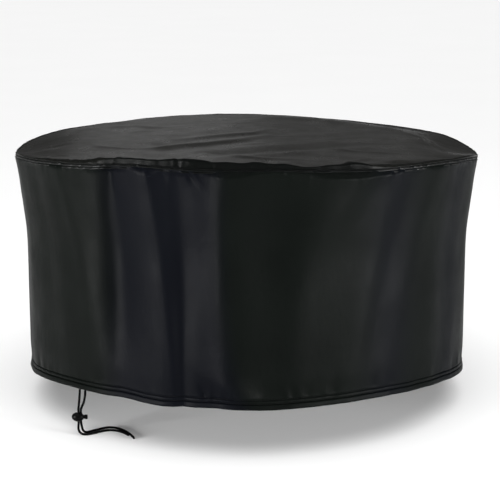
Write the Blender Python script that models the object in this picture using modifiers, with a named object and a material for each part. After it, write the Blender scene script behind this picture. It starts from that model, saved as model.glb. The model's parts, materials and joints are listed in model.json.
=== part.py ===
"""Round patio furniture cover.

A round top panel and a hanging skirt with a turned hem are joined by a tape at the rim. The two
free ends of the hem's drawcord come out at the front left and pass through a spring cord lock.

Metres, +Z up. The origin is under the middle of the top panel, where the cloth lies on what it
covers. The front is -Y. An azimuth is in degrees, 0 at the front and growing towards +X.
"""
import math
from bisect import bisect
from collections import namedtuple

import bmesh
import bpy
from mathutils import Matrix, Vector
from mathutils.geometry import delaunay_2d_cdt

# Cloth and rim
RIM_RADIUS = 0.7875  # to the outside of the rim tape
CLOTH = 0.0015
GAP = 0.0003
TAPE_HEIGHT = 0.011
TAPE_THICKNESS = 0.0045
TAPE_CORNER = 0.0012
PLATEAU_RISE = 0.050  # middle of the top above the rim at the sides
TOP_EDGE_INSET = 0.0015  # from the rim radius to the top panel's outer face
TOP_EDGE_LIFT = 0.0012  # the cloth's inner face ends this much lower than its outer one
SHOULDER_WIDTH = 0.012  # how far in the top panel turns from upright to flat
FOLD_START = 0.05  # part of the drop over which a fold grows out of the rim seam

# Drawcord and cord lock; heights are below the rim's level at the sides
CORD_DIAMETER = 0.0075
CORD_STEP = 0.018
STRAND_SPACING = 0.0079
LOCK_X = -0.53195
LOCK_Y = -0.557
LOCK_HEIGHT = -0.7765
BALL_HALF_LENGTH = 0.020
BALL_HALF_HEIGHT = 0.015
BALL_OFFSET = -0.0057  # the ball's centre from the strands' middle
MOUTH_OFFSET = 0.0113  # the flat round the plunger's bore, from the strands' middle
PLUNGER_RADIUS = 0.006
PLUNGER_TRAVEL = 0.0035
PLUNGER_END_WALL = 0.002
BUTTON_RADIUS = 0.0075
BUTTON_LENGTH = 0.009
BUTTON_ROUNDING = 0.0012
BALL_SEGMENTS = 28
BALL_RINGS = 16
TURNED_STEPS = 24
CUT_PAST = 0.005  # how far a cutter runs past the face that it opens

# How the rim and hem run round the cover, as it hangs. rim is the seam's height, drop the
# height from there to the hem's lower edge, shoulder the top panel's rise over the seam, and
# plateau the radius out to which the top lies flat.
Section = namedtuple("Section", "azimuth rim drop shoulder plateau")
SECTIONS = (
    Section(-180, 0.0260, 0.744, 0.008, 0.62),
    Section(-160, 0.0245, 0.744, 0.008, 0.64),
    Section(-140, 0.0165, 0.744, 0.008, 0.62),
    Section(-120, 0.0145, 0.743, 0.0085, 0.61),
    Section(-100, 0.0060, 0.7415, 0.0085, 0.55),
    Section(-85, 0.0015, 0.7375, 0.0085, 0.53),
    Section(-70, 0.0165, 0.737, 0.011, 0.54),
    Section(-55, 0.0290, 0.729, 0.015, 0.60),
    Section(-40, 0.0410, 0.727, 0.017, 0.68),
    Section(-30, 0.0470, 0.7335, 0.019, 0.73),
    Section(-19, 0.0515, 0.7395, 0.021, 0.74),
    Section(-5, 0.0520, 0.7355, 0.021, 0.75),
    Section(8, 0.0500, 0.7365, 0.020, 0.75),
    Section(22, 0.0430, 0.7280, 0.018, 0.73),
    Section(36, 0.0413, 0.7285, 0.015, 0.66),
    Section(50, 0.0340, 0.7335, 0.014, 0.58),
    Section(65, 0.0200, 0.7390, 0.012, 0.54),
    Section(80, -0.0010, 0.7350, 0.0085, 0.53),
    Section(95, -0.0085, 0.7365, 0.0085, 0.53),
    Section(115, 0.0060, 0.742, 0.008, 0.53),
    Section(135, 0.0085, 0.742, 0.008, 0.54),
    Section(160, 0.0170, 0.743, 0.008, 0.58),
)

# The skirt's upright section at the sides, from the seam (fall 0) to the hem's edge (fall 1).
Wall = namedtuple("Wall", "fall radius thickness")
WALL = (
    Wall(0.0000, 0.7865, 0.0015),
    Wall(0.0300, 0.7848, 0.0015),
    Wall(0.0650, 0.7820, 0.0015),
    Wall(0.1120, 0.7780, 0.0015),
    Wall(0.1590, 0.7745, 0.0015),
    Wall(0.2040, 0.7703, 0.0015),
    Wall(0.2530, 0.7663, 0.0015),
    Wall(0.3010, 0.7624, 0.0015),
    Wall(0.3480, 0.7594, 0.0015),
    Wall(0.4100, 0.7580, 0.0015),
    Wall(0.5000, 0.7580, 0.0015),
    Wall(0.6000, 0.7580, 0.0015),
    Wall(0.7000, 0.7580, 0.0015),
    Wall(0.8000, 0.7580, 0.0015),
    Wall(0.8800, 0.7578, 0.0015),
    Wall(0.9280, 0.7558, 0.0015),
    Wall(0.9560, 0.7550, 0.0016),
    Wall(0.9680, 0.7580, 0.0050),
    Wall(0.9820, 0.7605, 0.0100),
    Wall(0.9940, 0.7595, 0.0080),
    Wall(1.0000, 0.7570, 0.0030),
)

# Folds in the skirt: a fold's azimuth at the rim, half way down and at the hem, its half width
# in degrees at the rim and hem, how far it stands out at the rim, half way down and at the hem,
# and its skew: how much wider it is on its left than on its right.
Fold = namedtuple(
    "Fold", "rim middle hem rim_width hem_width rim_depth mid_depth hem_depth skew", defaults=(0.0,)
)
FOLDS = (
    Fold(-48.0, -40.9, -36.0, 3.0, 4.5, 0.006, 0.004, 0.001),
    Fold(-33.0, -32.6, -31.0, 5.0, 5.8, -0.019, -0.024, -0.012, -0.20),
    Fold(-22.8, -19.2, -17.3, 3.2, 3.4, 0.009, 0.011, 0.010, 0.40),
    Fold(-15.2, -14.6, -15.8, 3.2, 2.4, -0.010, -0.012, -0.011),
    Fold(-4.2, -4.4, -3.6, 4.2, 7.4, 0.012, 0.023, 0.014, -0.25),
    Fold(-5.3, -5.7, -5.2, 2.0, 2.4, 0.003, 0.004, 0.003, 0.20),
    Fold(6.0, 7.5, 6.0, 5.0, 5.0, -0.005, -0.004, -0.003),
    Fold(26.0, 11.5, 12.5, 6.0, 6.0, 0.012, 0.011, 0.006, 0.20),
    Fold(35.0, 29.5, 25.0, 4.2, 4.5, 0.006, 0.006, 0.004),
    Fold(41.5, 33.8, 28.5, 3.5, 3.0, -0.004, -0.004, -0.003),
    Fold(49.5, 40.9, 35.0, 4.2, 4.0, 0.005, 0.005, 0.003),
    Fold(61.0, 58.6, 57.0, 4.5, 5.0, -0.005, -0.005, -0.004),
    Fold(72.0, 73.2, 74.0, 4.0, 5.5, 0.004, 0.005, 0.004),
    Fold(103.0, 105.4, 107.0, 4.5, 5.0, -0.006, -0.008, -0.006),
    Fold(114.0, 116.4, 118.0, 4.0, 5.5, 0.006, 0.009, 0.007),
    Fold(128.0, 125.6, 124.0, 4.5, 4.0, -0.009, -0.008, -0.006),
    Fold(143.0, 146.0, 148.0, 5.0, 6.0, 0.008, 0.009, 0.006, 0.20),
    Fold(156.0, 157.2, 158.0, 3.5, 3.5, -0.008, -0.011, -0.008),
    Fold(169.0, 166.0, 164.0, 4.5, 5.0, 0.009, 0.010, 0.007),
    Fold(181.0, 182.8, 184.0, 4.5, 6.0, -0.007, -0.008, -0.006),
    Fold(-168.0, -169.8, -171.0, 3.5, 4.0, 0.006, 0.006, 0.004),
    Fold(-156.0, -152.4, -150.0, 4.5, 5.0, -0.010, -0.009, -0.006),
    Fold(-143.0, -141.2, -140.0, 4.0, 4.0, 0.008, 0.010, 0.008, -0.20),
    Fold(-131.0, -132.8, -134.0, 3.5, 4.0, -0.007, -0.009, -0.007),
    Fold(-119.0, -117.2, -116.0, 5.0, 6.0, 0.008, 0.009, 0.005),
    Fold(-106.0, -107.2, -108.0, 4.0, 5.0, -0.005, -0.006, -0.005),
    Fold(-72.0, -70.2, -69.0, 4.0, 5.0, 0.004, 0.004, 0.003),
    Fold(-60.0, -57.0, -55.0, 4.5, 5.5, -0.006, -0.005, -0.003),
)

# Soft creases across the top panel, from one end to the other.
Crease = namedtuple("Crease", "x0 y0 x1 y1 width height")
CREASES = (
    Crease(-0.350, -0.155, -0.065, 0.240, 0.045, 0.0045),
    Crease(-0.290, -0.215, 0.020, 0.060, 0.035, -0.0040),
    Crease(-0.250, -0.270, 0.070, 0.010, 0.035, 0.0045),
    Crease(-0.269, -0.336, 0.000, -0.140, 0.035, -0.0040),
    Crease(-0.143, -0.370, 0.270, -0.150, 0.040, 0.0045),
    Crease(-0.090, -0.440, 0.330, -0.230, 0.035, -0.0040),
    Crease(-0.074, -0.510, 0.400, -0.300, 0.038, 0.0040),
    Crease(0.160, -0.404, 0.500, -0.600, 0.045, 0.0040),
    Crease(0.060, -0.570, 0.210, -0.690, 0.035, -0.0035),
    Crease(-0.398, 0.116, -0.261, 0.320, 0.045, -0.0040),
    Crease(-0.180, 0.200, 0.060, 0.480, 0.055, 0.0040),
    Crease(0.120, 0.080, 0.360, 0.330, 0.055, -0.0040),
    Crease(0.230, 0.020, 0.500, 0.180, 0.050, 0.0035),
    Crease(-0.520, -0.330, -0.300, -0.480, 0.050, -0.0030),
)

# Spacing of the cloth's columns round the cover, closest where the folds are sharpest.
Arc = namedtuple("Arc", "start end columns")
ARCS = (
    Arc(-54.0, -42.0, 4),
    Arc(-42.0, -4.0, 20),
    Arc(-4.0, 56.0, 18),
    Arc(56.0, 306.0, 46),
)
TOP_RING_INSETS = (0.0015, 0.0027, 0.0062, 0.0135, 0.040, 0.085)
TOP_GRID_STEP = 0.052
TOP_GRID_MARGIN = 0.035

# The two strands of the drawcord, from the hem to their cut ends, heights as for the lock.
FLOOR_HEIGHT = -0.8378
LYING = FLOOR_HEIGHT + 0.5 * CORD_DIAMETER + 0.00005
HALF_SPACING = 0.5 * STRAND_SPACING
LEFT_X = LOCK_X - HALF_SPACING
RIGHT_X = LOCK_X + HALF_SPACING
LEFT_STRAND = (
    (-0.5320, -0.5381, -0.6903),
    (-0.5322, -0.5420, -0.7030),
    (-0.5335, -0.5490, -0.7250),
    (-0.5350, -0.5545, -0.7430),
    (LEFT_X, LOCK_Y, -0.7540),
    (LEFT_X, LOCK_Y, -0.7640),
    (LEFT_X, LOCK_Y, -0.7765),
    (LEFT_X, LOCK_Y, -0.7890),
    (LEFT_X, LOCK_Y, -0.7970),
    (-0.5369, -0.5572, -0.8070),
    (-0.5366, -0.5580, -0.8180),
    (-0.5325, -0.5592, -0.8275),
    (-0.5250, -0.5604, -0.8325),
    (-0.5155, -0.5606, LYING),
    (-0.5053, -0.5588, LYING),
    (-0.4934, -0.5512, LYING),
    (-0.4815, -0.5421, LYING),
    (-0.4626, -0.5280, LYING),
    (-0.4427, -0.5200, LYING),
    (-0.4245, -0.5216, LYING),
    (-0.4066, -0.5309, LYING),
    (-0.3901, -0.5480, LYING),
    (-0.3759, -0.5691, LYING),
)
RIGHT_STRAND = (
    (-0.5123, -0.5569, -0.6886),
    (-0.5128, -0.5590, -0.7030),
    (-0.5172, -0.5592, -0.7250),
    (-0.5245, -0.5580, -0.7430),
    (RIGHT_X, LOCK_Y, -0.7540),
    (RIGHT_X, LOCK_Y, -0.7640),
    (RIGHT_X, LOCK_Y, -0.7765),
    (RIGHT_X, LOCK_Y, -0.7890),
    (RIGHT_X, LOCK_Y, -0.7970),
    (-0.5265, -0.5560, -0.8070),
    (-0.5247, -0.5530, -0.8180),
    (-0.5210, -0.5485, -0.8275),
    (-0.5150, -0.5425, -0.8325),
    (-0.5070, -0.5350, LYING),
    (-0.4981, -0.5275, LYING),
    (-0.4840, -0.5162, LYING),
    (-0.4652, -0.5015, LYING),
    (-0.4454, -0.4920, LYING),
    (-0.4268, -0.4950, LYING),
    (-0.4087, -0.5072, LYING),
    (-0.3882, -0.5314, LYING),
    (-0.3733, -0.5576, LYING),
    (-0.3618, -0.5825, LYING),
    (-0.3562, -0.5977, LYING),
)


def mix(start, end, share):
    return start + (end - start) * share


def smooth_step(share):
    share = min(max(share, 0.0), 1.0)
    return share * share * (3.0 - 2.0 * share)


def smooth_value(rows, column, place):
    """Value of a table's column at a place along its first column, on a smooth curve."""
    places = [row[0] for row in rows]
    values = [getattr(row, column) for row in rows]
    last = len(rows) - 1
    high = min(max(bisect(places, place), 1), last)
    low = high - 1

    def slope(row):
        before = max(row - 1, 0)
        after = min(row + 1, last)
        return (values[after] - values[before]) / (places[after] - places[before])

    span = places[high] - places[low]
    share = min(max((place - places[low]) / span, 0.0), 1.0)
    bend_low = slope(low) * span * share * (1.0 - share) ** 2
    bend_high = slope(high) * span * share**2 * (1.0 - share)
    return mix(values[low], values[high], smooth_step(share)) + bend_low - bend_high


ROUND_SECTIONS = [
    row._replace(azimuth=row.azimuth + turn) for turn in (-360, 0, 360) for row in SECTIONS
]


def section_value(column, azimuth):
    return smooth_value(ROUND_SECTIONS, column, azimuth)


def turn_between(azimuth, other):
    """Signed angle from other to azimuth, between -180 and 180 degrees."""
    return (azimuth - other + 180.0) % 360.0 - 180.0


def fold_azimuth(fold, fall):
    """A fold's azimuth on the parabola through its three places."""
    lean = 4.0 * fold.middle - 3.0 * fold.rim - fold.hem
    bow = 2.0 * (fold.rim + fold.hem) - 4.0 * fold.middle
    return fold.rim + lean * fall + bow * fall**2


def fold_azimuth(fold, fall):
    """A fold's azimuth on the parabola through its three places."""
    lean = 4.0 * fold.middle - 3.0 * fold.rim - fold.hem
    bow = 2.0 * (fold.rim + fold.hem) - 4.0 * fold.middle
    return fold.rim + lean * fall + bow * fall**2


def fold_azimuth(fold, fall):
    """A fold's azimuth on the parabola through its three places."""
    lean = 4.0 * fold.middle - 3.0 * fold.rim - fold.hem
    bow = 2.0 * (fold.rim + fold.hem) - 4.0 * fold.middle
    return fold.rim + lean * fall + bow * fall**2


def fold_azimuth(fold, fall):
    """A fold's azimuth on the parabola through its three places."""
    lean = 4.0 * fold.middle - 3.0 * fold.rim - fold.hem
    bow = 2.0 * (fold.rim + fold.hem) - 4.0 * fold.middle
    return fold.rim + lean * fall + bow * fall**2


def fold_offset(azimuth, fall):
    """How far all the folds together push the skirt out at an azimuth and fall."""
    total = 0.0
    for fold in FOLDS:
        aside = turn_between(azimuth, fold_azimuth(fold, fall))
        width = mix(fold.rim_width, fold.hem_width, fall)
        width *= 1.0 + fold.skew if aside < 0.0 else 1.0 - fold.skew
        upper = mix(fold.rim_depth, fold.mid_depth, smooth_step(2.0 * fall))
        depth = mix(upper, fold.hem_depth, smooth_step(2.0 * fall - 1.0))
        total += depth * math.exp(-((aside / width) ** 2))
    return total * smooth_step(fall / FOLD_START)


def crease_offset(x, y):
    """How far all the creases together lift the top panel at a point."""
    total = 0.0
    for crease in CREASES:
        start = Vector((crease.x0, crease.y0))
        run = Vector((crease.x1, crease.y1)) - start
        share = (Vector((x, y)) - start).dot(run) / run.length_squared
        share = min(max(share, 0.0), 1.0)
        distance = (Vector((x, y)) - start - run * share).length
        total += crease.height * math.exp(-((distance / crease.width) ** 2))
    return total


def top_rise(x, y):
    """Height of the top panel's upper face over the rim's level at the sides."""
    azimuth = math.degrees(math.atan2(x, -y))
    inset = RIM_RADIUS - math.hypot(x, y)
    seam = section_value("rim", azimuth)
    edge = 0.5 * TAPE_HEIGHT + GAP + TOP_EDGE_LIFT
    turned = min(max((inset - TOP_EDGE_INSET) / SHOULDER_WIDTH, 0.0), 1.0)
    shoulder = mix(edge, section_value("shoulder", azimuth), math.sqrt(1.0 - (1.0 - turned) ** 2))
    slope = RIM_RADIUS - section_value("plateau", azimuth)
    inward = smooth_step(inset / slope)
    ease = smooth_step((inset - SHOULDER_WIDTH) / (2.0 * SHOULDER_WIDTH))
    return mix(seam + shoulder, PLATEAU_RISE, inward) + crease_offset(x, y) * ease


# Height of the rim at the sides, so that the cloth's underside is at the origin.
RIM_LEVEL = CLOTH - top_rise(0.0, 0.0)


def around(radius, azimuth, height):
    """Point at a radius and azimuth, with its height given from the rim's level."""
    angle = math.radians(azimuth)
    return Vector((radius * math.sin(angle), -radius * math.cos(angle), RIM_LEVEL + height))


def column_azimuths():
    azimuths = []
    for arc in ARCS:
        step = (arc.end - arc.start) / arc.columns
        azimuths += [arc.start + step * column for column in range(arc.columns)]
    return azimuths


def make_material(name, colour, roughness):
    material = bpy.data.materials.new(name)
    material.use_nodes = True
    shader = material.node_tree.nodes["Principled BSDF"]
    shader.inputs["Base Color"].default_value = (*colour, 1.0)
    shader.inputs["Roughness"].default_value = roughness
    shader.inputs["Metallic"].default_value = 0.0
    return material


def make_object(name, mesh, collection, material):
    made = bpy.data.objects.new(name, mesh)
    made.data.materials.append(material)
    collection.objects.link(made)
    return made


def mesh_from_faces(name, points, faces):
    """Mesh with its faces turned outwards."""
    mesh = bpy.data.meshes.new(name)
    mesh.from_pydata(points, [], faces)
    work = bmesh.new()
    work.from_mesh(mesh)
    bmesh.ops.recalc_face_normals(work, faces=work.faces)
    work.to_mesh(mesh)
    work.free()
    mesh.shade_smooth()
    return mesh


def loft_ring(name, sections):
    """Closed ring through closed sections that have the same number of points."""
    size = len(sections[0])
    points = [point for section in sections for point in section]
    faces = []
    for column in range(len(sections)):
        here = column * size
        beside = (column + 1) % len(sections) * size
        for corner in range(size):
            after = (corner + 1) % size
            faces.append((here + corner, here + after, beside + after, beside + corner))
    return mesh_from_faces(name, points, faces)


def skirt_section(azimuth):
    """Outer face from the tape down to the hem's edge, then the inner face back up."""
    drop = section_value("drop", azimuth)
    seam = section_value("rim", azimuth)
    top_fall = (0.5 * TAPE_HEIGHT + GAP) / drop
    outer, inner = [], []
    for wall in WALL:
        fall = max(wall.fall, top_fall)
        radius = wall.radius + fold_offset(azimuth, fall)
        height = seam - fall * drop
        outer.append(around(radius, azimuth, height))
        inner.append(around(radius - wall.thickness, azimuth, height))
    return outer + inner[::-1]


def build_skirt(collection):
    fabric = make_material("coated_cloth_skirt", (0.018, 0.019, 0.021), 0.45)
    sections = [skirt_section(azimuth) for azimuth in column_azimuths()]
    return make_object("skirt", loft_ring("skirt", sections), collection, fabric)


def tape_section(azimuth):
    seam = section_value("rim", azimuth)
    inner = RIM_RADIUS - TAPE_THICKNESS
    half = 0.5 * TAPE_HEIGHT
    corners = (
        (RIM_RADIUS - TAPE_CORNER, half),
        (RIM_RADIUS, half - TAPE_CORNER),
        (RIM_RADIUS, TAPE_CORNER - half),
        (RIM_RADIUS - TAPE_CORNER, -half),
        (inner, -half),
        (inner, half),
    )
    return [around(radius, azimuth, seam + height) for radius, height in corners]


def build_rim_tape(collection):
    fabric = make_material("coated_cloth_tape", (0.014, 0.014, 0.015), 0.5)
    sections = [tape_section(azimuth) for azimuth in column_azimuths()]
    return make_object("rim_tape", loft_ring("rim_tape", sections), collection, fabric)


def top_grid_points(limit):
    """Plan points of a staggered grid inside a circle."""
    points = []
    rows = int(limit / TOP_GRID_STEP)
    for row in range(-rows, rows + 1):
        shift = 0.5 * TOP_GRID_STEP if row % 2 else 0.0
        for column in range(-rows - 1, rows + 2):
            point = Vector((column * TOP_GRID_STEP + shift, row * TOP_GRID_STEP))
            if point.length < limit:
                points.append(point)
    return points


def build_top_panel(collection):
    """Rings of points follow the shoulder, a grid fills the middle, and both take the drape."""
    azimuths = column_azimuths()
    count = len(azimuths)
    plan, ring_edges = [], []
    for inset in TOP_RING_INSETS:
        first = len(plan)
        plan += [around(RIM_RADIUS - inset, azimuth, 0.0).xy for azimuth in azimuths]
        ring_edges += [(first + step, first + (step + 1) % count) for step in range(count)]
    plan += top_grid_points(RIM_RADIUS - TOP_RING_INSETS[-1] - TOP_GRID_MARGIN)
    spots, _, faces = delaunay_2d_cdt(plan, ring_edges, [], 0, 1e-6)[:3]
    points = [Vector((spot.x, spot.y, RIM_LEVEL + top_rise(spot.x, spot.y))) for spot in spots]
    mesh = bpy.data.meshes.new("top_panel")
    mesh.from_pydata(points, [], faces)
    mesh.shade_smooth()
    fabric = make_material("coated_cloth_top", (0.040, 0.040, 0.041), 0.5)
    panel = make_object("top_panel", mesh, collection, fabric)
    shell = panel.modifiers.new("cloth", "SOLIDIFY")
    shell.thickness = CLOTH
    shell.offset = -1.0
    return panel


def smooth_route(route, step):
    """Points about a step apart on one smooth curve through the route's own points."""
    knots = [Vector(point) for point in route]
    ends = [knots[0] * 2.0 - knots[1]] + knots + [knots[-1] * 2.0 - knots[-2]]
    points = [knots[0]]
    for index in range(1, len(ends) - 2):
        before, start, end, after = ends[index - 1:index + 3]
        pieces = max(1, round((end - start).length / step))
        for piece in range(1, pieces + 1):
            share = piece / pieces
            leave = (end - before) * 0.5 * share * (1.0 - share) ** 2
            arrive = (after - start) * 0.5 * share**2 * (1.0 - share)
            points.append(start.lerp(end, smooth_step(share)) + leave - arrive)
    return points


def build_strand(name, route, collection):
    curve = bpy.data.curves.new(name, "CURVE")
    curve.dimensions = "3D"
    curve.bevel_depth = 0.5 * CORD_DIAMETER
    curve.bevel_resolution = 2
    curve.use_fill_caps = True
    points = smooth_route(route, CORD_STEP)
    spline = curve.splines.new("POLY")
    spline.points.add(len(points) - 1)
    for spot, point in zip(spline.points, points):
        spot.co = (point.x, point.y, point.z + RIM_LEVEL, 1.0)
    braid = make_material(name + "_braid", (0.012, 0.012, 0.012), 0.7)
    return make_object(name, curve, collection, braid)


def make_box_cutter(name, low, high, collection):
    """Box that a Boolean takes away, from its low corner to its high one."""
    low, high = Vector(low), Vector(high)
    bpy.ops.mesh.primitive_cube_add(size=1.0)
    bpy.context.object.data.transform(Matrix.Diagonal((*(high - low), 1.0)))
    bpy.context.object.location = 0.5 * (low + high)
    return hide_cutter(name, bpy.context.object, collection)


def hide_cutter(name, cutter, collection):
    cutter.name = name
    for home in cutter.users_collection:
        home.objects.unlink(cutter)
    collection.objects.link(cutter)
    cutter.hide_render = True
    cutter.display_type = "WIRE"
    return cutter


def cut(made, cutter):
    step = made.modifiers.new(cutter.name, "BOOLEAN")
    step.operation = "DIFFERENCE"
    step.object = cutter


# Places in the cord lock, along X through the strands' middle.
STRANDS_HALF_WIDTH = 0.5 * (STRAND_SPACING + CORD_DIAMETER) + GAP
STRANDS_HALF_DEPTH = 0.5 * CORD_DIAMETER + GAP
LOCK_Z = RIM_LEVEL + LOCK_HEIGHT
MOUTH_X = LOCK_X + MOUTH_OFFSET
BUTTON_X = MOUTH_X + GAP + PLUNGER_TRAVEL + GAP
SLOT_START = LOCK_X - STRANDS_HALF_WIDTH
SLOT_END = LOCK_X + STRANDS_HALF_WIDTH + PLUNGER_TRAVEL
PLUNGER_INNER_X = SLOT_START - PLUNGER_END_WALL
BORE_END_X = PLUNGER_INNER_X - PLUNGER_TRAVEL - GAP


def build_lock_body(collection, cutters):
    """Oval ball with an upright passage for the strands and a bore for the plunger."""
    work = bmesh.new()
    bmesh.ops.create_uvsphere(
        work, u_segments=BALL_SEGMENTS, v_segments=BALL_RINGS, radius=BALL_HALF_HEIGHT
    )
    stretch = (BALL_HALF_LENGTH / BALL_HALF_HEIGHT, 1.0, 1.0)
    bmesh.ops.scale(work, vec=stretch, verts=work.verts)
    mesh = bpy.data.meshes.new("cord_lock_body")
    work.to_mesh(mesh)
    work.free()
    mesh.shade_smooth()
    plastic = make_material("moulded_plastic_body", (0.015, 0.015, 0.015), 0.35)
    body = make_object("cord_lock_body", mesh, collection, plastic)
    body.location = (LOCK_X + BALL_OFFSET, LOCK_Y, LOCK_Z)

    reach = BALL_HALF_HEIGHT + CUT_PAST
    beyond = make_box_cutter(
        "cutter_mouth",
        (MOUTH_X, LOCK_Y - reach, LOCK_Z - reach),
        (LOCK_X + BALL_OFFSET + BALL_HALF_LENGTH + CUT_PAST, LOCK_Y + reach, LOCK_Z + reach),
        cutters,
    )
    passage = make_box_cutter(
        "cutter_passage",
        (LOCK_X - STRANDS_HALF_WIDTH, LOCK_Y - STRANDS_HALF_DEPTH, LOCK_Z - reach),
        (LOCK_X + STRANDS_HALF_WIDTH, LOCK_Y + STRANDS_HALF_DEPTH, LOCK_Z + reach),
        cutters,
    )
    bore_length = MOUTH_X + CUT_PAST - BORE_END_X
    bpy.ops.mesh.primitive_cylinder_add(
        vertices=TURNED_STEPS,
        radius=PLUNGER_RADIUS + GAP,
        depth=bore_length,
        location=(BORE_END_X + 0.5 * bore_length, LOCK_Y, LOCK_Z),
        rotation=(0.0, math.radians(90.0), 0.0),
    )
    bore = hide_cutter("cutter_bore", bpy.context.object, cutters)
    for cutter in (beyond, bore, passage):
        cut(body, cutter)
    return body


def build_plunger(collection, cutters):
    """Turned pin and button, with the slot that the strands run through.

    The slot is longer than the strands are wide by the plunger's travel.
    """
    button_start = BUTTON_X - MOUTH_X
    button_end = button_start + BUTTON_LENGTH
    inner_end = PLUNGER_INNER_X - MOUTH_X
    soft = BUTTON_ROUNDING
    hard = 0.5 * BUTTON_ROUNDING
    bulge = (1.0 - math.sqrt(0.5)) * BUTTON_ROUNDING
    profile = (
        (0.0, button_end),
        (BUTTON_RADIUS - soft, button_end),
        (BUTTON_RADIUS - bulge, button_end - bulge),
        (BUTTON_RADIUS, button_end - soft),
        (BUTTON_RADIUS, button_start + hard),
        (BUTTON_RADIUS - hard, button_start),
        (PLUNGER_RADIUS, button_start),
        (PLUNGER_RADIUS, inner_end),
        (0.0, inner_end),
    )
    mesh = bpy.data.meshes.new("cord_lock_plunger")
    edges = [(step, step + 1) for step in range(len(profile) - 1)]
    mesh.from_pydata([(radius, 0.0, height) for radius, height in profile], edges, [])
    plastic = make_material("moulded_plastic_plunger", (0.014, 0.014, 0.014), 0.4)
    plunger = make_object("cord_lock_plunger", mesh, collection, plastic)
    plunger.location = (MOUTH_X, LOCK_Y, LOCK_Z)
    plunger.rotation_euler = (0.0, math.radians(90.0), 0.0)
    turned = plunger.modifiers.new("turned", "SCREW")
    turned.steps = TURNED_STEPS
    turned.render_steps = TURNED_STEPS
    turned.use_merge_vertices = True
    turned.merge_threshold = 0.00001
    reach = BALL_HALF_HEIGHT
    slot = make_box_cutter(
        "cutter_slot",
        (SLOT_START, LOCK_Y - STRANDS_HALF_DEPTH, LOCK_Z - reach),
        (SLOT_END, LOCK_Y + STRANDS_HALF_DEPTH, LOCK_Z + reach),
        cutters,
    )
    cut(plunger, slot)
    return plunger


def main():
    for old in list(bpy.data.objects):
        bpy.data.objects.remove(old)
    cover = bpy.data.collections.new("patio_furniture_cover")
    cutters = bpy.data.collections.new("cutters")
    for collection in (cover, cutters):
        bpy.context.scene.collection.children.link(collection)
    build_top_panel(cover)
    build_rim_tape(cover)
    build_skirt(cover)
    build_strand("drawcord_left", LEFT_STRAND, cover)
    build_strand("drawcord_right", RIGHT_STRAND, cover)
    build_lock_body(cover, cutters)
    build_plunger(cover, cutters)


main()
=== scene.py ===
"""Round patio furniture cover of coated cloth, dressed.

Metres, +Z up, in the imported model's frame: the origin is under the middle of the top panel and
the front is -Y. An azimuth is in degrees, 0 at the front and growing towards +X. A fall is the
share of the skirt's drop, 0 at the rim seam and 1 at the hem's edge.
"""

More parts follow.
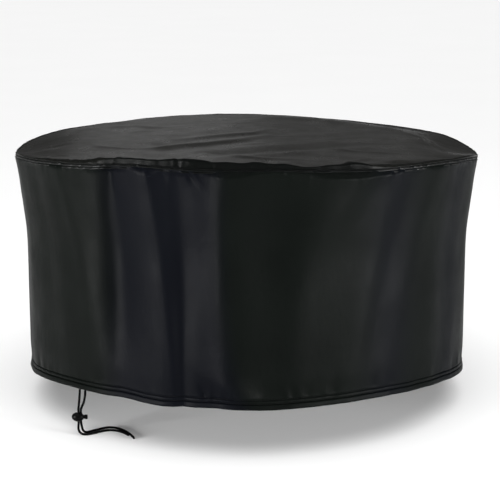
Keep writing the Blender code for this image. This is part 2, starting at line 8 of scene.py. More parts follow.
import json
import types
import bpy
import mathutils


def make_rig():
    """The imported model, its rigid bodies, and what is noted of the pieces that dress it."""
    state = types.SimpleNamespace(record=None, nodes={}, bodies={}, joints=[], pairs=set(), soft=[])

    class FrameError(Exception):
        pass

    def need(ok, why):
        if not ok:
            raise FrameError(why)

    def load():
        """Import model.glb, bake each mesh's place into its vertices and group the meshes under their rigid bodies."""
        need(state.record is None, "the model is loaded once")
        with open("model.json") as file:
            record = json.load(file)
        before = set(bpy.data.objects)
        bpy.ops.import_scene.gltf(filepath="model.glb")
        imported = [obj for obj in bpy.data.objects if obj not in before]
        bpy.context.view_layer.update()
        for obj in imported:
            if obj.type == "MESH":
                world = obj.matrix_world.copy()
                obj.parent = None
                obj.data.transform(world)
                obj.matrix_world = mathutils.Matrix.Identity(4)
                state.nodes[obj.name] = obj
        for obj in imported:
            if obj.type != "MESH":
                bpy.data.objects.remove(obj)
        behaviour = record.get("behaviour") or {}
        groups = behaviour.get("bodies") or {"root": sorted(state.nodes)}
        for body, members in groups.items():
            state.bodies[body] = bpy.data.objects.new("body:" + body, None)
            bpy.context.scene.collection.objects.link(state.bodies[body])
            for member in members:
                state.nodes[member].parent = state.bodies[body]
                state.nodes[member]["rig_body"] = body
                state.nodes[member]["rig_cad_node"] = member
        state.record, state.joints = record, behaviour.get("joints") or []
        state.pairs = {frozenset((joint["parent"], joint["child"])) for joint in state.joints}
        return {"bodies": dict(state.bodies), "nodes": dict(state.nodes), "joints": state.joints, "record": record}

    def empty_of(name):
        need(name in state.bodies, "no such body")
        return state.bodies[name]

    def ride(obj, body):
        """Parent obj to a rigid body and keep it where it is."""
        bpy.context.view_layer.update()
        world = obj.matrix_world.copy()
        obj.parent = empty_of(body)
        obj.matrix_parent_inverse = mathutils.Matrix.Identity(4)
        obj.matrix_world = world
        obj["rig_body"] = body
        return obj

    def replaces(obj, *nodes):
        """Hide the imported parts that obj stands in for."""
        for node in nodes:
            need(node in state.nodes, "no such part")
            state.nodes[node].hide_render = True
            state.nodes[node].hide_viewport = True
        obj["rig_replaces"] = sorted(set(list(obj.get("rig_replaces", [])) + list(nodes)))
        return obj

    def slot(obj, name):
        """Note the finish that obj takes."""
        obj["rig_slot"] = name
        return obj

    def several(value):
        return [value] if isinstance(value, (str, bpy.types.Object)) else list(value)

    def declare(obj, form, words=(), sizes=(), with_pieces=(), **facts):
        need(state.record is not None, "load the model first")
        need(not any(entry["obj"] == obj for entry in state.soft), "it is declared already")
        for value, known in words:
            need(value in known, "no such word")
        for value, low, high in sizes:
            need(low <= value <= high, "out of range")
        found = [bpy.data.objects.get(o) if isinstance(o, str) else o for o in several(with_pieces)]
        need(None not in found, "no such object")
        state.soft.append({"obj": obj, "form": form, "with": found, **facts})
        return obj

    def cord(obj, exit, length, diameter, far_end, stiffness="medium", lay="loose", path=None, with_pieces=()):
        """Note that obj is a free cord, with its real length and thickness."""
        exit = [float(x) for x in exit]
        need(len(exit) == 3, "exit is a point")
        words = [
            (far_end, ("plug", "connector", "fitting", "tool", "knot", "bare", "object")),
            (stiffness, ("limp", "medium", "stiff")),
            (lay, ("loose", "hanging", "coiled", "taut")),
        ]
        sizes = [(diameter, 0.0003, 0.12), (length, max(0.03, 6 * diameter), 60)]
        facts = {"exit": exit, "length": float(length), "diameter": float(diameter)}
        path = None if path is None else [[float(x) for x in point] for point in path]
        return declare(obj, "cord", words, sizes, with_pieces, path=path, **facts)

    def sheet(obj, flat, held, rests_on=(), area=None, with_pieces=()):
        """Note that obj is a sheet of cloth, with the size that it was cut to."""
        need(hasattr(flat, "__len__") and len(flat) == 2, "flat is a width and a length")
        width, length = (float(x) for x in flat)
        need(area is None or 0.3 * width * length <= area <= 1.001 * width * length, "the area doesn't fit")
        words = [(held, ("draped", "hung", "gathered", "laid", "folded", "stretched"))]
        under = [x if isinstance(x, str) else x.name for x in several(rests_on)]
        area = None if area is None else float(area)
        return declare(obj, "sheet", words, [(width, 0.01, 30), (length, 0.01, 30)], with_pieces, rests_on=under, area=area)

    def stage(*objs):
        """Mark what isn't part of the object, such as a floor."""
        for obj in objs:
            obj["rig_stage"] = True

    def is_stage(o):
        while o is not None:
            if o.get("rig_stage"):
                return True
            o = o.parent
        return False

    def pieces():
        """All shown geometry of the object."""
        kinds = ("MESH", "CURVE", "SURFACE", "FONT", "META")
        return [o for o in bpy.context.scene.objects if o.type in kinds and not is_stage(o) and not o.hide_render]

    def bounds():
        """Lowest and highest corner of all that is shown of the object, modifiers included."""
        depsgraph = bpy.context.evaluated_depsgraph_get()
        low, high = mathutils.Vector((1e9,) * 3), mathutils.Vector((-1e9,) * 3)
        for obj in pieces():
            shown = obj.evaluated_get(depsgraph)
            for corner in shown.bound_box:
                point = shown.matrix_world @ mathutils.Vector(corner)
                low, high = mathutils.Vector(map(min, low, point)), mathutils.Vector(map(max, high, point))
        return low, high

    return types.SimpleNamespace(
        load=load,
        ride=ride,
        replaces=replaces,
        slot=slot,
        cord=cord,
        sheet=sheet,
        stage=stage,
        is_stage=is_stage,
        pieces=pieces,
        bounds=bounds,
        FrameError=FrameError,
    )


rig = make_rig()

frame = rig.load()

import json
import math
import random
from collections import namedtuple

import bpy
import numpy as np
from mathutils import Vector
from mathutils.geometry import delaunay_2d_cdt

cad_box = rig.bounds()


def table(kind, *rows):
    """Rows of named numbers."""
    return tuple(kind(*row) for row in rows)


# Cloth and rim
RIM_RADIUS = 0.7875
RIM_LEVEL = -0.048063  # the rim seam's height at the sides, from the origin
USUAL_DROP = 0.735  # the skirt's drop, where it needn't follow the sections
CLOTH = 0.0007
PLATEAU_RISE = 0.05
SHOULDER_WIDTH = 0.012
SHOULDER_EDGE = 0.007  # from the seam up to where the top panel shows above the tape
FOLD_START = 0.03  # the fall within which the folds grow from the seam
NEAR_SEAM = 0.05  # how far from the seam its wandering dies away
FLOOR_HEIGHT = -0.8378

# Drawcord and cord lock
CORD_DIAMETER = 0.0075
STRAND_SPACING = 0.0079
LOCK_X = -0.53195
LOCK_Y = -0.557
LOCK_HEIGHT = -0.7765
BALL_HALF_LENGTH = 0.02
BALL_HALF_HEIGHT = 0.015
BALL_MIDDLE = LOCK_X - 0.0057
MOUTH_X = LOCK_X + 0.0113
BUTTON_X = MOUTH_X + 0.0041
LOCK_Z = RIM_LEVEL + LOCK_HEIGHT
PIN_RADIUS = 0.006
PIN_LENGTH = 0.0252
BORE_RADIUS = 0.0063
BORE_END_X = LOCK_X - 0.0138
PASSAGE_START = LOCK_X - 0.008  # the strands' passage down through the ball
PASSAGE_END = LOCK_X + 0.008
PASSAGE_DEPTH = 0.0081
PASSAGE_ROUNDING = 0.0036
SLOT_START = LOCK_X - 0.008  # the slot through the pin, for the strands
SLOT_END = LOCK_X + 0.0115
# The ball's lip: distance back from the mouth, and how far it stands out from the oval
LIP = ((0.0021, 0.0001), (0.0018, 0.0008), (0.0006, 0.0008), (0.0001, 0.0004), (0.0, -0.0002))
LIP_START = 0.12  # where the oval ends before the mouth, as a share of its half length
BUTTON_RADIUS = 0.0075
# The button's end: distance from its start, and radius
BUTTON_END = ((0.008, BUTTON_RADIUS), (0.0087, 0.0072), (0.009, 0.0065), (0.0088, 0.0056),
              (0.0083, 0.0034), (0.0081, 0.0))
# A groove of the button's grip: distance from the groove's start, and depth
GRIP_GROOVE = ((0.0, 0.0), (0.0003, 0.0004), (0.0007, 0.0004), (0.001, 0.0))
GRIP_PITCH = 0.0018
GRIP_GROOVES = 3
LATHE_STEPS = 56
BALL_STEPS = 30
SMOOTH_ANGLE = 32.0

Section = namedtuple("Section", "azimuth rim drop shoulder plateau")
SECTIONS = table(
    Section,
    (-180, 0.026, 0.744, 0.008, 0.62),
    (-160, 0.0245, 0.744, 0.008, 0.64),
    (-140, 0.0165, 0.744, 0.008, 0.62),
    (-120, 0.0145, 0.743, 0.0085, 0.61),
    (-100, 0.006, 0.7415, 0.0085, 0.55),
    (-85, 0.0015, 0.7375, 0.0085, 0.53),
    (-70, 0.0165, 0.737, 0.011, 0.54),
    (-55, 0.029, 0.729, 0.015, 0.6),
    (-40, 0.041, 0.727, 0.017, 0.68),
    (-30, 0.047, 0.7335, 0.019, 0.73),
    (-19, 0.0515, 0.7395, 0.021, 0.74),
    (-5, 0.052, 0.7355, 0.021, 0.75),
    (8, 0.05, 0.7365, 0.02, 0.75),
    (22, 0.043, 0.728, 0.018, 0.73),
    (36, 0.0413, 0.7285, 0.015, 0.66),
    (50, 0.034, 0.7335, 0.014, 0.58),
    (65, 0.02, 0.739, 0.012, 0.54),
    (80, -0.001, 0.735, 0.0085, 0.53),
    (95, -0.0085, 0.7365, 0.0085, 0.53),
    (115, 0.006, 0.742, 0.008, 0.53),
    (135, 0.0085, 0.742, 0.008, 0.54),
    (160, 0.017, 0.743, 0.008, 0.58),
)
Wall = namedtuple("Wall", "fall radius")
WALL = table(
    Wall,
    (0.0, 0.786), (0.013, 0.7888), (0.03, 0.787), (0.065, 0.783), (0.112, 0.7782),
    (0.159, 0.7745), (0.204, 0.7703), (0.253, 0.7663), (0.301, 0.7624), (0.348, 0.7594),
    (0.41, 0.758), (0.5, 0.758), (0.6, 0.758), (0.7, 0.758), (0.8, 0.758), (0.88, 0.7578),
    (0.928, 0.7562), (0.956, 0.7556), (1.0, 0.7556),
)
# A fold's azimuth at the rim, half way down and at the hem, its half widths and depths (out is
# positive), and its skew: how much wider it is on its left than on its right.
Fold = namedtuple(
    "Fold", "rim middle hem rim_width hem_width rim_depth mid_depth hem_depth skew", defaults=(0.0,)
)
FOLDS = table(
    Fold,
    (-48.0, -40.9, -37.0, 3.0, 4.5, 0.006, 0.006, 0.002),
    (-32.4, -31.4, -29.8, 4.8, 5.6, -0.022, -0.029, -0.009, -0.06),
    (-33.4, -33.6, -31.8, 2.4, 3.0, -0.006, -0.007, -0.003, -0.2),
    (-22.8, -19.2, -17.3, 3.2, 3.4, 0.009, 0.011, 0.01, 0.4),
    (-15.2, -14.6, -15.8, 3.2, 2.4, -0.01, -0.012, -0.011),
    (-18.0, -17.0, -16.4, 1.2, 1.3, 0.0, 0.002, 0.0045),
    (-4.2, -4.4, -0.6, 4.2, 7.4, 0.012, 0.024, 0.018, -0.25),
    (-5.6, -6.0, -4.4, 2.0, 2.4, 0.003, 0.004, 0.003, -0.2),
    (6.0, 7.5, 6.0, 5.0, 5.0, -0.005, -0.004, -0.003),
    (26.0, 11.5, 12.5, 7.0, 6.0, 0.019, 0.011, 0.006, 0.2),
    (35.0, 29.5, 25.0, 4.2, 4.5, 0.006, 0.006, 0.004),
    (41.5, 33.8, 28.5, 3.5, 3.0, -0.004, -0.004, -0.003),
    (49.5, 40.9, 35.0, 4.2, 4.0, 0.005, 0.005, 0.003),
    (61.0, 58.6, 57.0, 4.5, 5.0, -0.005, -0.005, -0.004),
    (72.0, 73.2, 74.0, 4.0, 5.5, 0.004, 0.005, 0.004),
    (103.0, 105.4, 107.0, 4.5, 5.0, -0.006, -0.008, -0.006),
    (114.0, 116.4, 118.0, 4.0, 5.5, 0.006, 0.009, 0.007),
    (128.0, 125.6, 124.0, 4.5, 4.0, -0.009, -0.008, -0.006),
    (143.0, 146.0, 148.0, 5.0, 6.0, 0.008, 0.009, 0.006, 0.2),
    (156.0, 157.2, 158.0, 3.5, 3.5, -0.008, -0.011, -0.008),
    (169.0, 166.0, 164.0, 4.5, 5.0, 0.009, 0.01, 0.007),
    (181.0, 182.8, 184.0, 4.5, 6.0, -0.007, -0.008, -0.006),
    (-168.0, -169.8, -171.0, 3.5, 4.0, 0.006, 0.006, 0.004),
    (-156.0, -152.4, -150.0, 4.5, 5.0, -0.01, -0.009, -0.006),
    (-143.0, -141.2, -140.0, 4.0, 4.0, 0.008, 0.01, 0.008, -0.2),
    (-131.0, -132.8, -134.0, 3.5, 4.0, -0.007, -0.009, -0.007),
    (-119.0, -117.2, -116.0, 5.0, 6.0, 0.008, 0.009, 0.005),
    (-106.0, -107.2, -108.0, 4.0, 5.0, -0.005, -0.006, -0.005),
    (-72.0, -70.2, -69.0, 4.0, 5.0, 0.004, 0.004, 0.003),
    (-60.0, -57.0, -55.0, 4.5, 5.5, -0.006, -0.005, -0.003),
)

# Creases in the top panel: the line that each follows, its half width and its height.
Crease = namedtuple("Crease", "width height line")
BROAD_CREASES = table(
    Crease,
    (0.045, 0.0045, ((-0.35, -0.155), (-0.065, 0.24))),
    (0.035, -0.004, ((-0.29, -0.215), (0.02, 0.06))),
    (0.035, 0.0045, ((-0.25, -0.27), (0.07, 0.01))),
    (0.035, -0.004, ((-0.269, -0.336), (0.0, -0.14))),
    (0.04, 0.0045, ((-0.143, -0.37), (0.27, -0.15))),
    (0.035, -0.004, ((-0.09, -0.44), (0.33, -0.23))),
    (0.038, 0.004, ((-0.074, -0.51), (0.4, -0.3))),
    (0.045, 0.004, ((0.16, -0.404), (0.5, -0.6))),
    (0.035, -0.0035, ((0.06, -0.57), (0.21, -0.69))),
    (0.045, -0.004, ((-0.398, 0.116), (-0.261, 0.32))),
    (0.055, 0.004, ((-0.18, 0.2), (0.06, 0.48))),
    (0.055, -0.004, ((0.12, 0.08), (0.36, 0.33))),
    (0.05, 0.0035, ((0.23, 0.02), (0.5, 0.18))),
    (0.05, -0.003, ((-0.52, -0.33), (-0.3, -0.48))),
)
FINE_CREASES = table(
    Crease,
    (0.02, 0.0042, ((-0.268, -0.1), (-0.213, -0.071), (-0.13, 0.004), (-0.051, 0.064),
                     (0.029, 0.11), (0.075, 0.19), (0.11, 0.2))),
    (0.018, 0.0034, ((-0.5, -0.235), (-0.445, -0.28), (-0.381, -0.306), (-0.324, -0.306),
                     (-0.228, -0.238), (-0.131, -0.185), (-0.01, -0.086), (0.035, -0.05))),
    (0.018, 0.0034, ((-0.09, -0.215), (0.012, -0.19), (0.088, -0.19), (0.165, -0.17),
                     (0.224, -0.129), (0.284, -0.071), (0.34, -0.04))),
    (0.014, 0.0022, ((-0.3, -0.028), (-0.247, 0.004), (-0.196, 0.017))),
    (0.016, -0.0022, ((-0.34, 0.02), (-0.287, 0.012), (-0.205, 0.07))),
    (0.018, 0.0028, ((-0.42, 0.13), (-0.367, 0.17), (-0.3, 0.16))),
    (0.026, 0.0042, ((-0.56, 0.215), (-0.483, 0.25), (-0.403, 0.28), (-0.34, 0.262),
                     (-0.253, 0.295), (-0.157, 0.33))),
    (0.018, 0.0024, ((-0.225, 0.365), (-0.139, 0.345), (-0.05, 0.345), (0.01, 0.375))),
    (0.04, 0.007, ((0.0, 0.585), (0.156, 0.52), (0.252, 0.47), (0.358, 0.366),
                     (0.465, 0.235), (0.574, 0.105))),
    (0.016, 0.0022, ((0.03, 0.375), (0.158, 0.305))),
    (0.018, -0.0022, ((0.035, 0.3), (0.156, 0.225))),
    (0.014, -0.002, ((0.088, 0.006), (0.172, -0.018))),
    (0.017, 0.003, ((0.16, -0.35), (0.238, -0.322), (0.289, -0.335), (0.341, -0.375),
                     (0.448, -0.395), (0.53, -0.412))),
    (0.015, 0.0022, ((0.33, -0.15), (0.44, -0.188))),
    (0.016, 0.003, ((-0.19, -0.5), (-0.132, -0.425), (-0.079, -0.46), (-0.008, -0.5),
                     (0.073, -0.519), (0.218, -0.563))),
    (0.012, 0.0026, ((0.085, -0.574), (0.12, -0.595), (0.166, -0.663))),
    (0.012, 0.0024, ((0.281, -0.606), (0.321, -0.584), (0.359, -0.552))),
    (0.014, 0.0012, ((0.434, -0.25), (0.498, -0.299), (0.541, -0.347))),
    (0.016, 0.0022, ((-0.522, -0.158), (-0.475, -0.256), (-0.387, -0.303))),
    (0.013, 0.0022, ((-0.627, -0.418), (-0.59, -0.407), (-0.55, -0.44))),
    (0.016, -0.0026, ((-0.691, -0.145), (-0.642, -0.125), (-0.594, -0.15))),
    (0.014, 0.0022, ((-0.717, -0.268), (-0.681, -0.384), (-0.645, -0.451))),
)
CREASE_END = 0.25  # how high a fine crease is at its ends

# A spot round the cover, where something is added to what its sections say.
Spot = namedtuple("Spot", "azimuth width amount")
# How much further the top panel's edge stands up over the rim.
LOBES = table(
    Spot,
    (-62.0, 7.0, -0.005), (-50.0, 4.0, -0.003), (-34.5, 2.6, 0.007), (-29.0, 3.2, 0.009),
    (-23.5, 3.2, 0.007), (-18.5, 2.6, 0.007), (-14.5, 3.0, 0.0145), (-9.5, 3.0, 0.015),
    (-4.0, 3.0, 0.011), (2.0, 3.2, 0.011), (8.0, 3.0, 0.007), (13.4, 3.0, -0.003),
    (18.5, 3.0, 0.004), (24.5, 3.0, 0.0105), (30.5, 3.0, 0.002), (42.0, 5.0, -0.003),
    (55.0, 7.0, -0.004),
)
LOBE_REACH = 0.2  # how far in from the rim a lobe dies away
# How much lower the seam runs.
SEAM_SAGS = table(Spot, (37.0, 13.0, 0.005), (-26.0, 8.0, -0.007))
# The front, where the top panel's edge hangs over the seam and the tape rolls under it.
ROLLED_FROM = -36.0
ROLLED_TO = 34.0
ROLL_ENDS = (4.0, 7.0)  # how gently it starts and ends
TAPE_ROLL = 0.45  # how far the tape leans, for each metre up
OVERHANG = 0.005
SIDE_PUCKER = 1.7  # how much stronger the tape puckers away from the front
EDGE_SHADE = 0.75  # how dark the painted shade makes the turned edge at the sides; at the front it is 1
SIDE_END = 66.0  # where the sides give way to the back
TAPE_LIFT = 0.0042  # how far the tape stands up over the top panel's edge at the back
TAPE_LIFT_FROM = 72.0
SIDE_FADE = 14.0

# Gathers at the rim seam: stretches of the seam, how many, how long and how high they are.
GatherZone = namedtuple("GatherZone", "start end count length height")
GATHER_ZONES = table(
    GatherZone,
    (-180, -60, 44, 0.03, 0.0011),
    (-60, -36, 16, 0.024, 0.0016),
    (-36, -4, 26, 0.034, 0.0017),
    (-4, 20, 9, 0.028, 0.0012),
    (20, 40, 18, 0.026, 0.0018),
    (40, 60, 9, 0.024, 0.0012),
    (60, 180, 44, 0.03, 0.0011),
)
GATHER_SIZE = (0.5, 1.3)
GATHER_LEAN = 22.0
GATHER_WIDTH = (0.35, 0.75)
GATHER_LENGTH = (0.6, 1.5)
PINCH_ROOT = 0.006  # how far from the stitches a pinch has its full height
PINCH_START = 0.35  # how much of its height it has at the stitches
PINCH_SPREAD = 0.8  # how much wider it is at its length
# Single pinches, listed one by one: on the skirt below the seam and above the hem.
Pinch = namedtuple("Pinch", "azimuth lean width length height")
RIM_PINCHES = table(
    Pinch,
    (-33.0, -4.0, 0.8, 0.09, -0.005),
    (-27.5, 20.0, 0.8, 0.06, -0.003),
    (-22.5, 24.0, 0.7, 0.055, 0.0028),
    (-18.5, 14.0, 0.8, 0.06, -0.0034),
    (-9.6, -10.0, 2.6, 0.05, -0.007),
    (-13.4, 52.0, 0.7, 0.055, -0.005),
    (-12.2, 48.0, 0.5, 0.05, 0.0036),
    (-7.2, 10.0, 0.6, 0.05, -0.0034),
    (-5.6, -12.0, 0.7, 0.04, 0.0022),
    (22.0, -18.0, 0.8, 0.05, -0.002),
    (28.5, -22.0, 0.6, 0.036, 0.0022),
    (35.0, -16.0, 0.7, 0.045, -0.002),
)
HEM_PINCHES = table(
    Pinch,
    (0.4, -75.0, 3.4, 0.1, 0.0155),
    (-5.0, -8.0, 4.6, 0.12, 0.009),
    (-66.0, 6.0, 1.0, 0.05, -0.0034),
    (-62.5, -4.0, 0.9, 0.036, 0.0026),
    (-38.0, 14.0, 1.0, 0.05, -0.0026),
    (-22.0, -8.0, 0.9, 0.03, 0.0016),
    (-9.6, -14.0, 0.75, 0.044, -0.008),
    (-7.4, -6.0, 0.6, 0.03, -0.006),
    (-4.7, 4.0, 0.5, 0.022, -0.004),
    (-2.7, 6.0, 0.6, 0.022, -0.0026),
    (3.6, 8.0, 0.5, 0.022, -0.0018),
    (9.6, -10.0, 0.6, 0.036, 0.0028),
    (10.9, -14.0, 0.6, 0.034, -0.003),
    (12.6, -8.0, 0.6, 0.026, 0.0022),
    (14.6, -10.0, 0.7, 0.028, -0.0024),
    (18.8, 6.0, 0.9, 0.04, 0.0026),
    (21.2, 0.0, 0.8, 0.034, -0.0024),
    (31.8, 4.0, 0.8, 0.04, -0.0028),
    (34.2, 8.0, 0.9, 0.034, 0.0022),
    (36.6, 0.0, 0.8, 0.04, -0.0028),
    (52.0, -8.0, 1.0, 0.036, 0.002),
    (66.0, -10.0, 1.1, 0.055, -0.0034),
    (70.0, -4.0, 1.0, 0.05, 0.0036),
    (74.0, 2.0, 0.9, 0.04, -0.003),
)
HEM_GATHERS = 90
HEM_GATHER_LEAN = 12.0
HEM_GATHER_WIDTH = (0.4, 0.8)
HEM_GATHER_LENGTH = (0.012, 0.03)
HEM_GATHER_HEIGHT = (-0.0016, 0.0012)

# The hem's outline from the wall, down round its edge and up inside: height over the edge, and
# how far it stands out from the wall.
Turn = namedtuple("Turn", "above out")
HEM_TURNS = table(
    Turn,
    (0.0385, 0.0), (0.035, 0.0003), (0.0332, -0.0003), (0.0322, -0.0032), (0.0309, -0.0034),
    (0.0299, -0.0002), (0.0288, 0.001), (0.027, 0.0015), (0.025, 0.0019), (0.023, 0.0021),
    (0.0213, 0.0017), (0.0204, 0.0004), (0.0195, -0.0032), (0.0182, -0.0034), (0.0171, 0.0008),
    (0.016, 0.0026), (0.0135, 0.0033), (0.0105, 0.004), (0.007, 0.0048), (0.0034, 0.0053),
    (0.0012, 0.0044), (0.0, 0.0014), (0.0008, -0.003), (0.004, -0.0068), (0.009, -0.008),
    (0.014, -0.0068), (0.0175, -0.0056), (0.02, -0.0052), (0.025, -0.0046), (0.031, -0.0052),
    (0.036, -0.005),
)
HEM_EDGE_TURN = 21  # the turn at the hem's lowest edge
HEM_TUBE = (0.009, 0.008)  # the tube's middle over the edge, and half its height
HEM_BAND = (0.025, 0.0035)  # the same of the band between the rows of stitches
HEM_TOP = 0.022  # above this the skirt's pinches grow
HEM_BLEND = 0.012
EDGE_REACH = 0.08  # how far up the skirt the waves of the hem's edge die away
LOWER_STITCHES = 0.0189
UPPER_STITCHES = 0.0316

# The tape's outline: height over the seam, and depth in from the rim's radius.
TapeTurn = namedtuple("TapeTurn", "up depth")
TAPE_TURNS = table(
    TapeTurn,
    (0.0062, 0.0026), (0.0056, 0.001), (0.005, 0.0014), (0.0046, 0.0034), (0.0036, 0.0034),
    (0.003, 0.0018), (0.0018, 0.0008), (0.0, -0.0006), (-0.0018, -0.0014), (-0.0028, -0.0006),
    (-0.0034, 0.0026), (-0.0044, 0.0026), (-0.005, 0.0008), (-0.0062, -0.0006),
    (-0.0082, -0.0018), (-0.0094, -0.0019), (-0.0098, 0.0004), (-0.006, 0.0046), (0.0056, 0.0046),
)
TAPE_STITCHES = (0.0041, -0.0039)
TAPE_FACE_TURNS = 15  # the turns of its outer face, the first ones
TAPE_COLUMNS = 2400
TAPE_PILLOWS = ((0.0, 0.0035), (-0.0085, 0.003))  # the strips that pucker: place and half width
TAPE_SLANT = 0.35  # how far the puckers slant at the sides, in turns for each metre up
TAPE_OUTER = 0.004  # the depth down to which a point belongs to the tape's outer face
TAPE_CORNER = 0.008  # how far below the seam the skirt's gathers show in the tape

# Small ripples: their height, the cells round the cover and down it, their seed, and how far
# they slant round the cover on their way down.
Ripple = namedtuple("Ripple", "height cells seed slant", defaults=(0.0,))
SEAM_OUT = (Ripple(0.0006, (90, 2), 3),)
SEAM_UP = (Ripple(0.001, (48, 2), 5), Ripple(0.0006, (130, 2), 7))
WALL_DRIFT = table(
    Ripple,
    (0.0006, (26, 6), 41),
    (0.00016, (70, 8), 43, 0.03),
    (0.00005, (170, 16), 47, -0.03),
)
HEM_TUBE_WAVES = (Ripple(0.0008, (110, 2), 53), Ripple(0.0006, (240, 2), 59))
HEM_BAND_PUCKERS = (Ripple(0.0013, (330, 2), 61), Ripple(0.0008, (150, 2), 67))
HEM_EDGE_WAVES = (Ripple(0.0012, (60, 2), 71),)
TOP_RIPPLES = (Ripple(0.0008, (11, 17), 73), Ripple(0.00025, (23, 41), 79, 0.27))
TAPE_PUCKERS = (Ripple(0.0015, (400, 2), 83), Ripple(0.001, (180, 2), 89))
TAPE_TILT = (Ripple(0.2, (260, 2), 97),)  # for each metre up

# Cloth columns round the skirt, and rows down it
Arc = namedtuple("Arc", "start end columns")
SKIRT_ARCS = table(Arc, (-75.0, 75.0, 450), (75.0, 285.0, 180))
RIM_ROWS = (-0.004, 0.0, 0.004, 0.0065, 0.009, 0.012, 0.0155, 0.0195, 0.024, 0.029,
            0.035, 0.042, 0.05, 0.06, 0.072, 0.086)
MIDDLE_ROWS = 24
LOW_ROWS = (0.11, 0.096, 0.084, 0.074, 0.065, 0.057, 0.05, 0.044)
# The two rings behind the tape: depth in from the rim's radius, and height over the seam
TOP_TUCK = ((0.0045, 0.0015), (0.0018, 0.0045))
TOP_INSETS = (0.0015, 0.002, 0.003, 0.0046, 0.0068, 0.0096, 0.013, 0.017, 0.022, 0.028, 0.035,
              0.043)
TOP_GRID_STEP = 0.008

# Thread
STITCH_PITCH = 0.0042
STITCH_LENGTH = 0.0034
THREAD_RADIUS = 0.00055
STITCH_PROFILE = ((-0.5, -0.9, 0.45), (-0.36, 0.25, 0.95), (0.0, 0.62, 1.0), (0.36, 0.25, 0.95),
                  (0.5, -0.9, 0.45))  # along, lift and thickness, in stitch and thread sizes
THREAD_SIDES = 6

# Painted violet sheen: the tint that light gives the coating, painted into the skirt's colour as a band over the front
# left folds, and faint patches
VIOLET_FROM = -39.0
VIOLET_TO = -6.0
VIOLET_FLARE = 6.0  # how much further the band's right side runs at the hem
VIOLET_STRENGTH = 0.46
VIOLET_EDGES = (9.0, 7.0)  # how softly the band begins and ends
VIOLET_PATCHES = table(
    Spot,
    (36.0, 7.0, 0.35),
    (62.0, 8.0, 0.3),
    (150.0, 16.0, 0.4),
    (-140.0, 14.0, 0.45),
)

# Finishes
SKIRT_BLACK = (0.0016, 0.0022, 0.0018)
# painted violet sheen of the skirt, bluer than its black
PAINTED_VIOLET_SHEEN = (0.0016, 0.0015, 0.0044)
# painted light: the top panel is the same cloth as the skirt, painted a lighter grey
TOP_LIT_GREY = (0.007, 0.0068, 0.0057)
# painted shade for the top panel's turned edge and the rolled tape
EDGE_SHADE_BLACK = (0.0016, 0.0019, 0.0018)
TAPE_BLACK = (0.002, 0.0022, 0.002)
LOCK_BLACK = (0.0012, 0.0012, 0.0012)
BUTTON_BLACK = (0.001, 0.001, 0.001)
WEAVE_PITCH = 0.0011

# Studio light
WORLD_STRENGTH = 0.09
OVERHEAD_STRENGTH = 3.05
OVERHEAD_SPREAD = 90.0
Softbox = namedtuple("Softbox", "name place target width height power")
MIDDLE = (0.0, 0.0, -0.4)
SOFTBOXES = table(
    Softbox,
    ("left_softbox", (-3.6, -2.85, -0.4), MIDDLE, 1.4, 0.9, 345.0),
    ("right_softbox", (3.75, -2.8, -0.4), MIDDLE, 1.4, 0.9, 365.0),
    ("back_softbox", (-0.6, 3.2, 0.9), (-0.6, 0.0, 0.0), 1.2, 1.0, 1.3),
    ("back_wall", (0.25, 6.0, 1.75), (0.25, 0.0, 1.75), 2.8, 2.0, 3.2),
)
FLOOR_SIZE = 160.0

# Camera, fitted to the rim, the hem and the outline
CAMERA_PLACE = (0.01166, -5.0, 0.715 + RIM_LEVEL)
CAMERA_TILT = 12.03
CAMERA_LENS = 104.976

LYING = FLOOR_HEIGHT + 0.5 * CORD_DIAMETER + 0.00005
LEFT_X = LOCK_X - 0.5 * STRAND_SPACING
RIGHT_X = LOCK_X + 0.5 * STRAND_SPACING
LOCK_RUN = (-0.754, -0.764, -0.7765, -0.789, -0.797)  # heights on the way down through the lock


def through_lock(x):
    return [(x, LOCK_Y, height) for height in LOCK_RUN]


def lying(*places):
    return [(*place, LYING) for place in places]


LEFT_STRAND = (
    (-0.532, -0.5381, -0.6903),
    (-0.5322, -0.542, -0.703),
    (-0.5335, -0.549, -0.725),
    (-0.535, -0.5545, -0.743),
    *through_lock(LEFT_X),
    (-0.5369, -0.5572, -0.807),
    (-0.5366, -0.558, -0.818),
    (-0.5325, -0.5592, -0.8275),
    (-0.525, -0.5604, -0.8325),
    *lying(
        (-0.5155, -0.5606), (-0.5053, -0.5588), (-0.4934, -0.5512), (-0.4815, -0.5421),
        (-0.4626, -0.528), (-0.4427, -0.52), (-0.4245, -0.5216), (-0.4066, -0.5309),
        (-0.3901, -0.548), (-0.3759, -0.5691),
    ),
)
RIGHT_STRAND = (
    (-0.5123, -0.5569, -0.6886),
    (-0.5128, -0.559, -0.703),
    (-0.5172, -0.5592, -0.725),
    (-0.5245, -0.558, -0.743),
    *through_lock(RIGHT_X),
    (-0.5265, -0.556, -0.807),
    (-0.5247, -0.553, -0.818),
    (-0.521, -0.5485, -0.8275),
    (-0.515, -0.5425, -0.8325),
    *lying(
        (-0.507, -0.535), (-0.4981, -0.5275), (-0.484, -0.5162), (-0.4652, -0.5015),
        (-0.4454, -0.492), (-0.4268, -0.495), (-0.4087, -0.5072), (-0.3882, -0.5314),
        (-0.3733, -0.5576), (-0.3618, -0.5825), (-0.3562, -0.5977),
    ),
)
BRAID_STEP = 0.00055
BRAID_SIDES = 48
BRAID_CARRIERS = 8  # strands in each direction
BRAID_CELL = 0.003  # length of cord that a carrier takes for one crossing
BRAID_RELIEF = 0.00045
MELTED_LENGTH = 0.005
END_ROUNDING = 0.0022
ROUTE_STEP = 0.004


# ---- reading the tables

def mix(start, end, share):
    return start + (end - start) * share


def smooth_step(share):
    share = np.clip(share, 0.0, 1.0)
    return share * share * (3.0 - 2.0 * share)


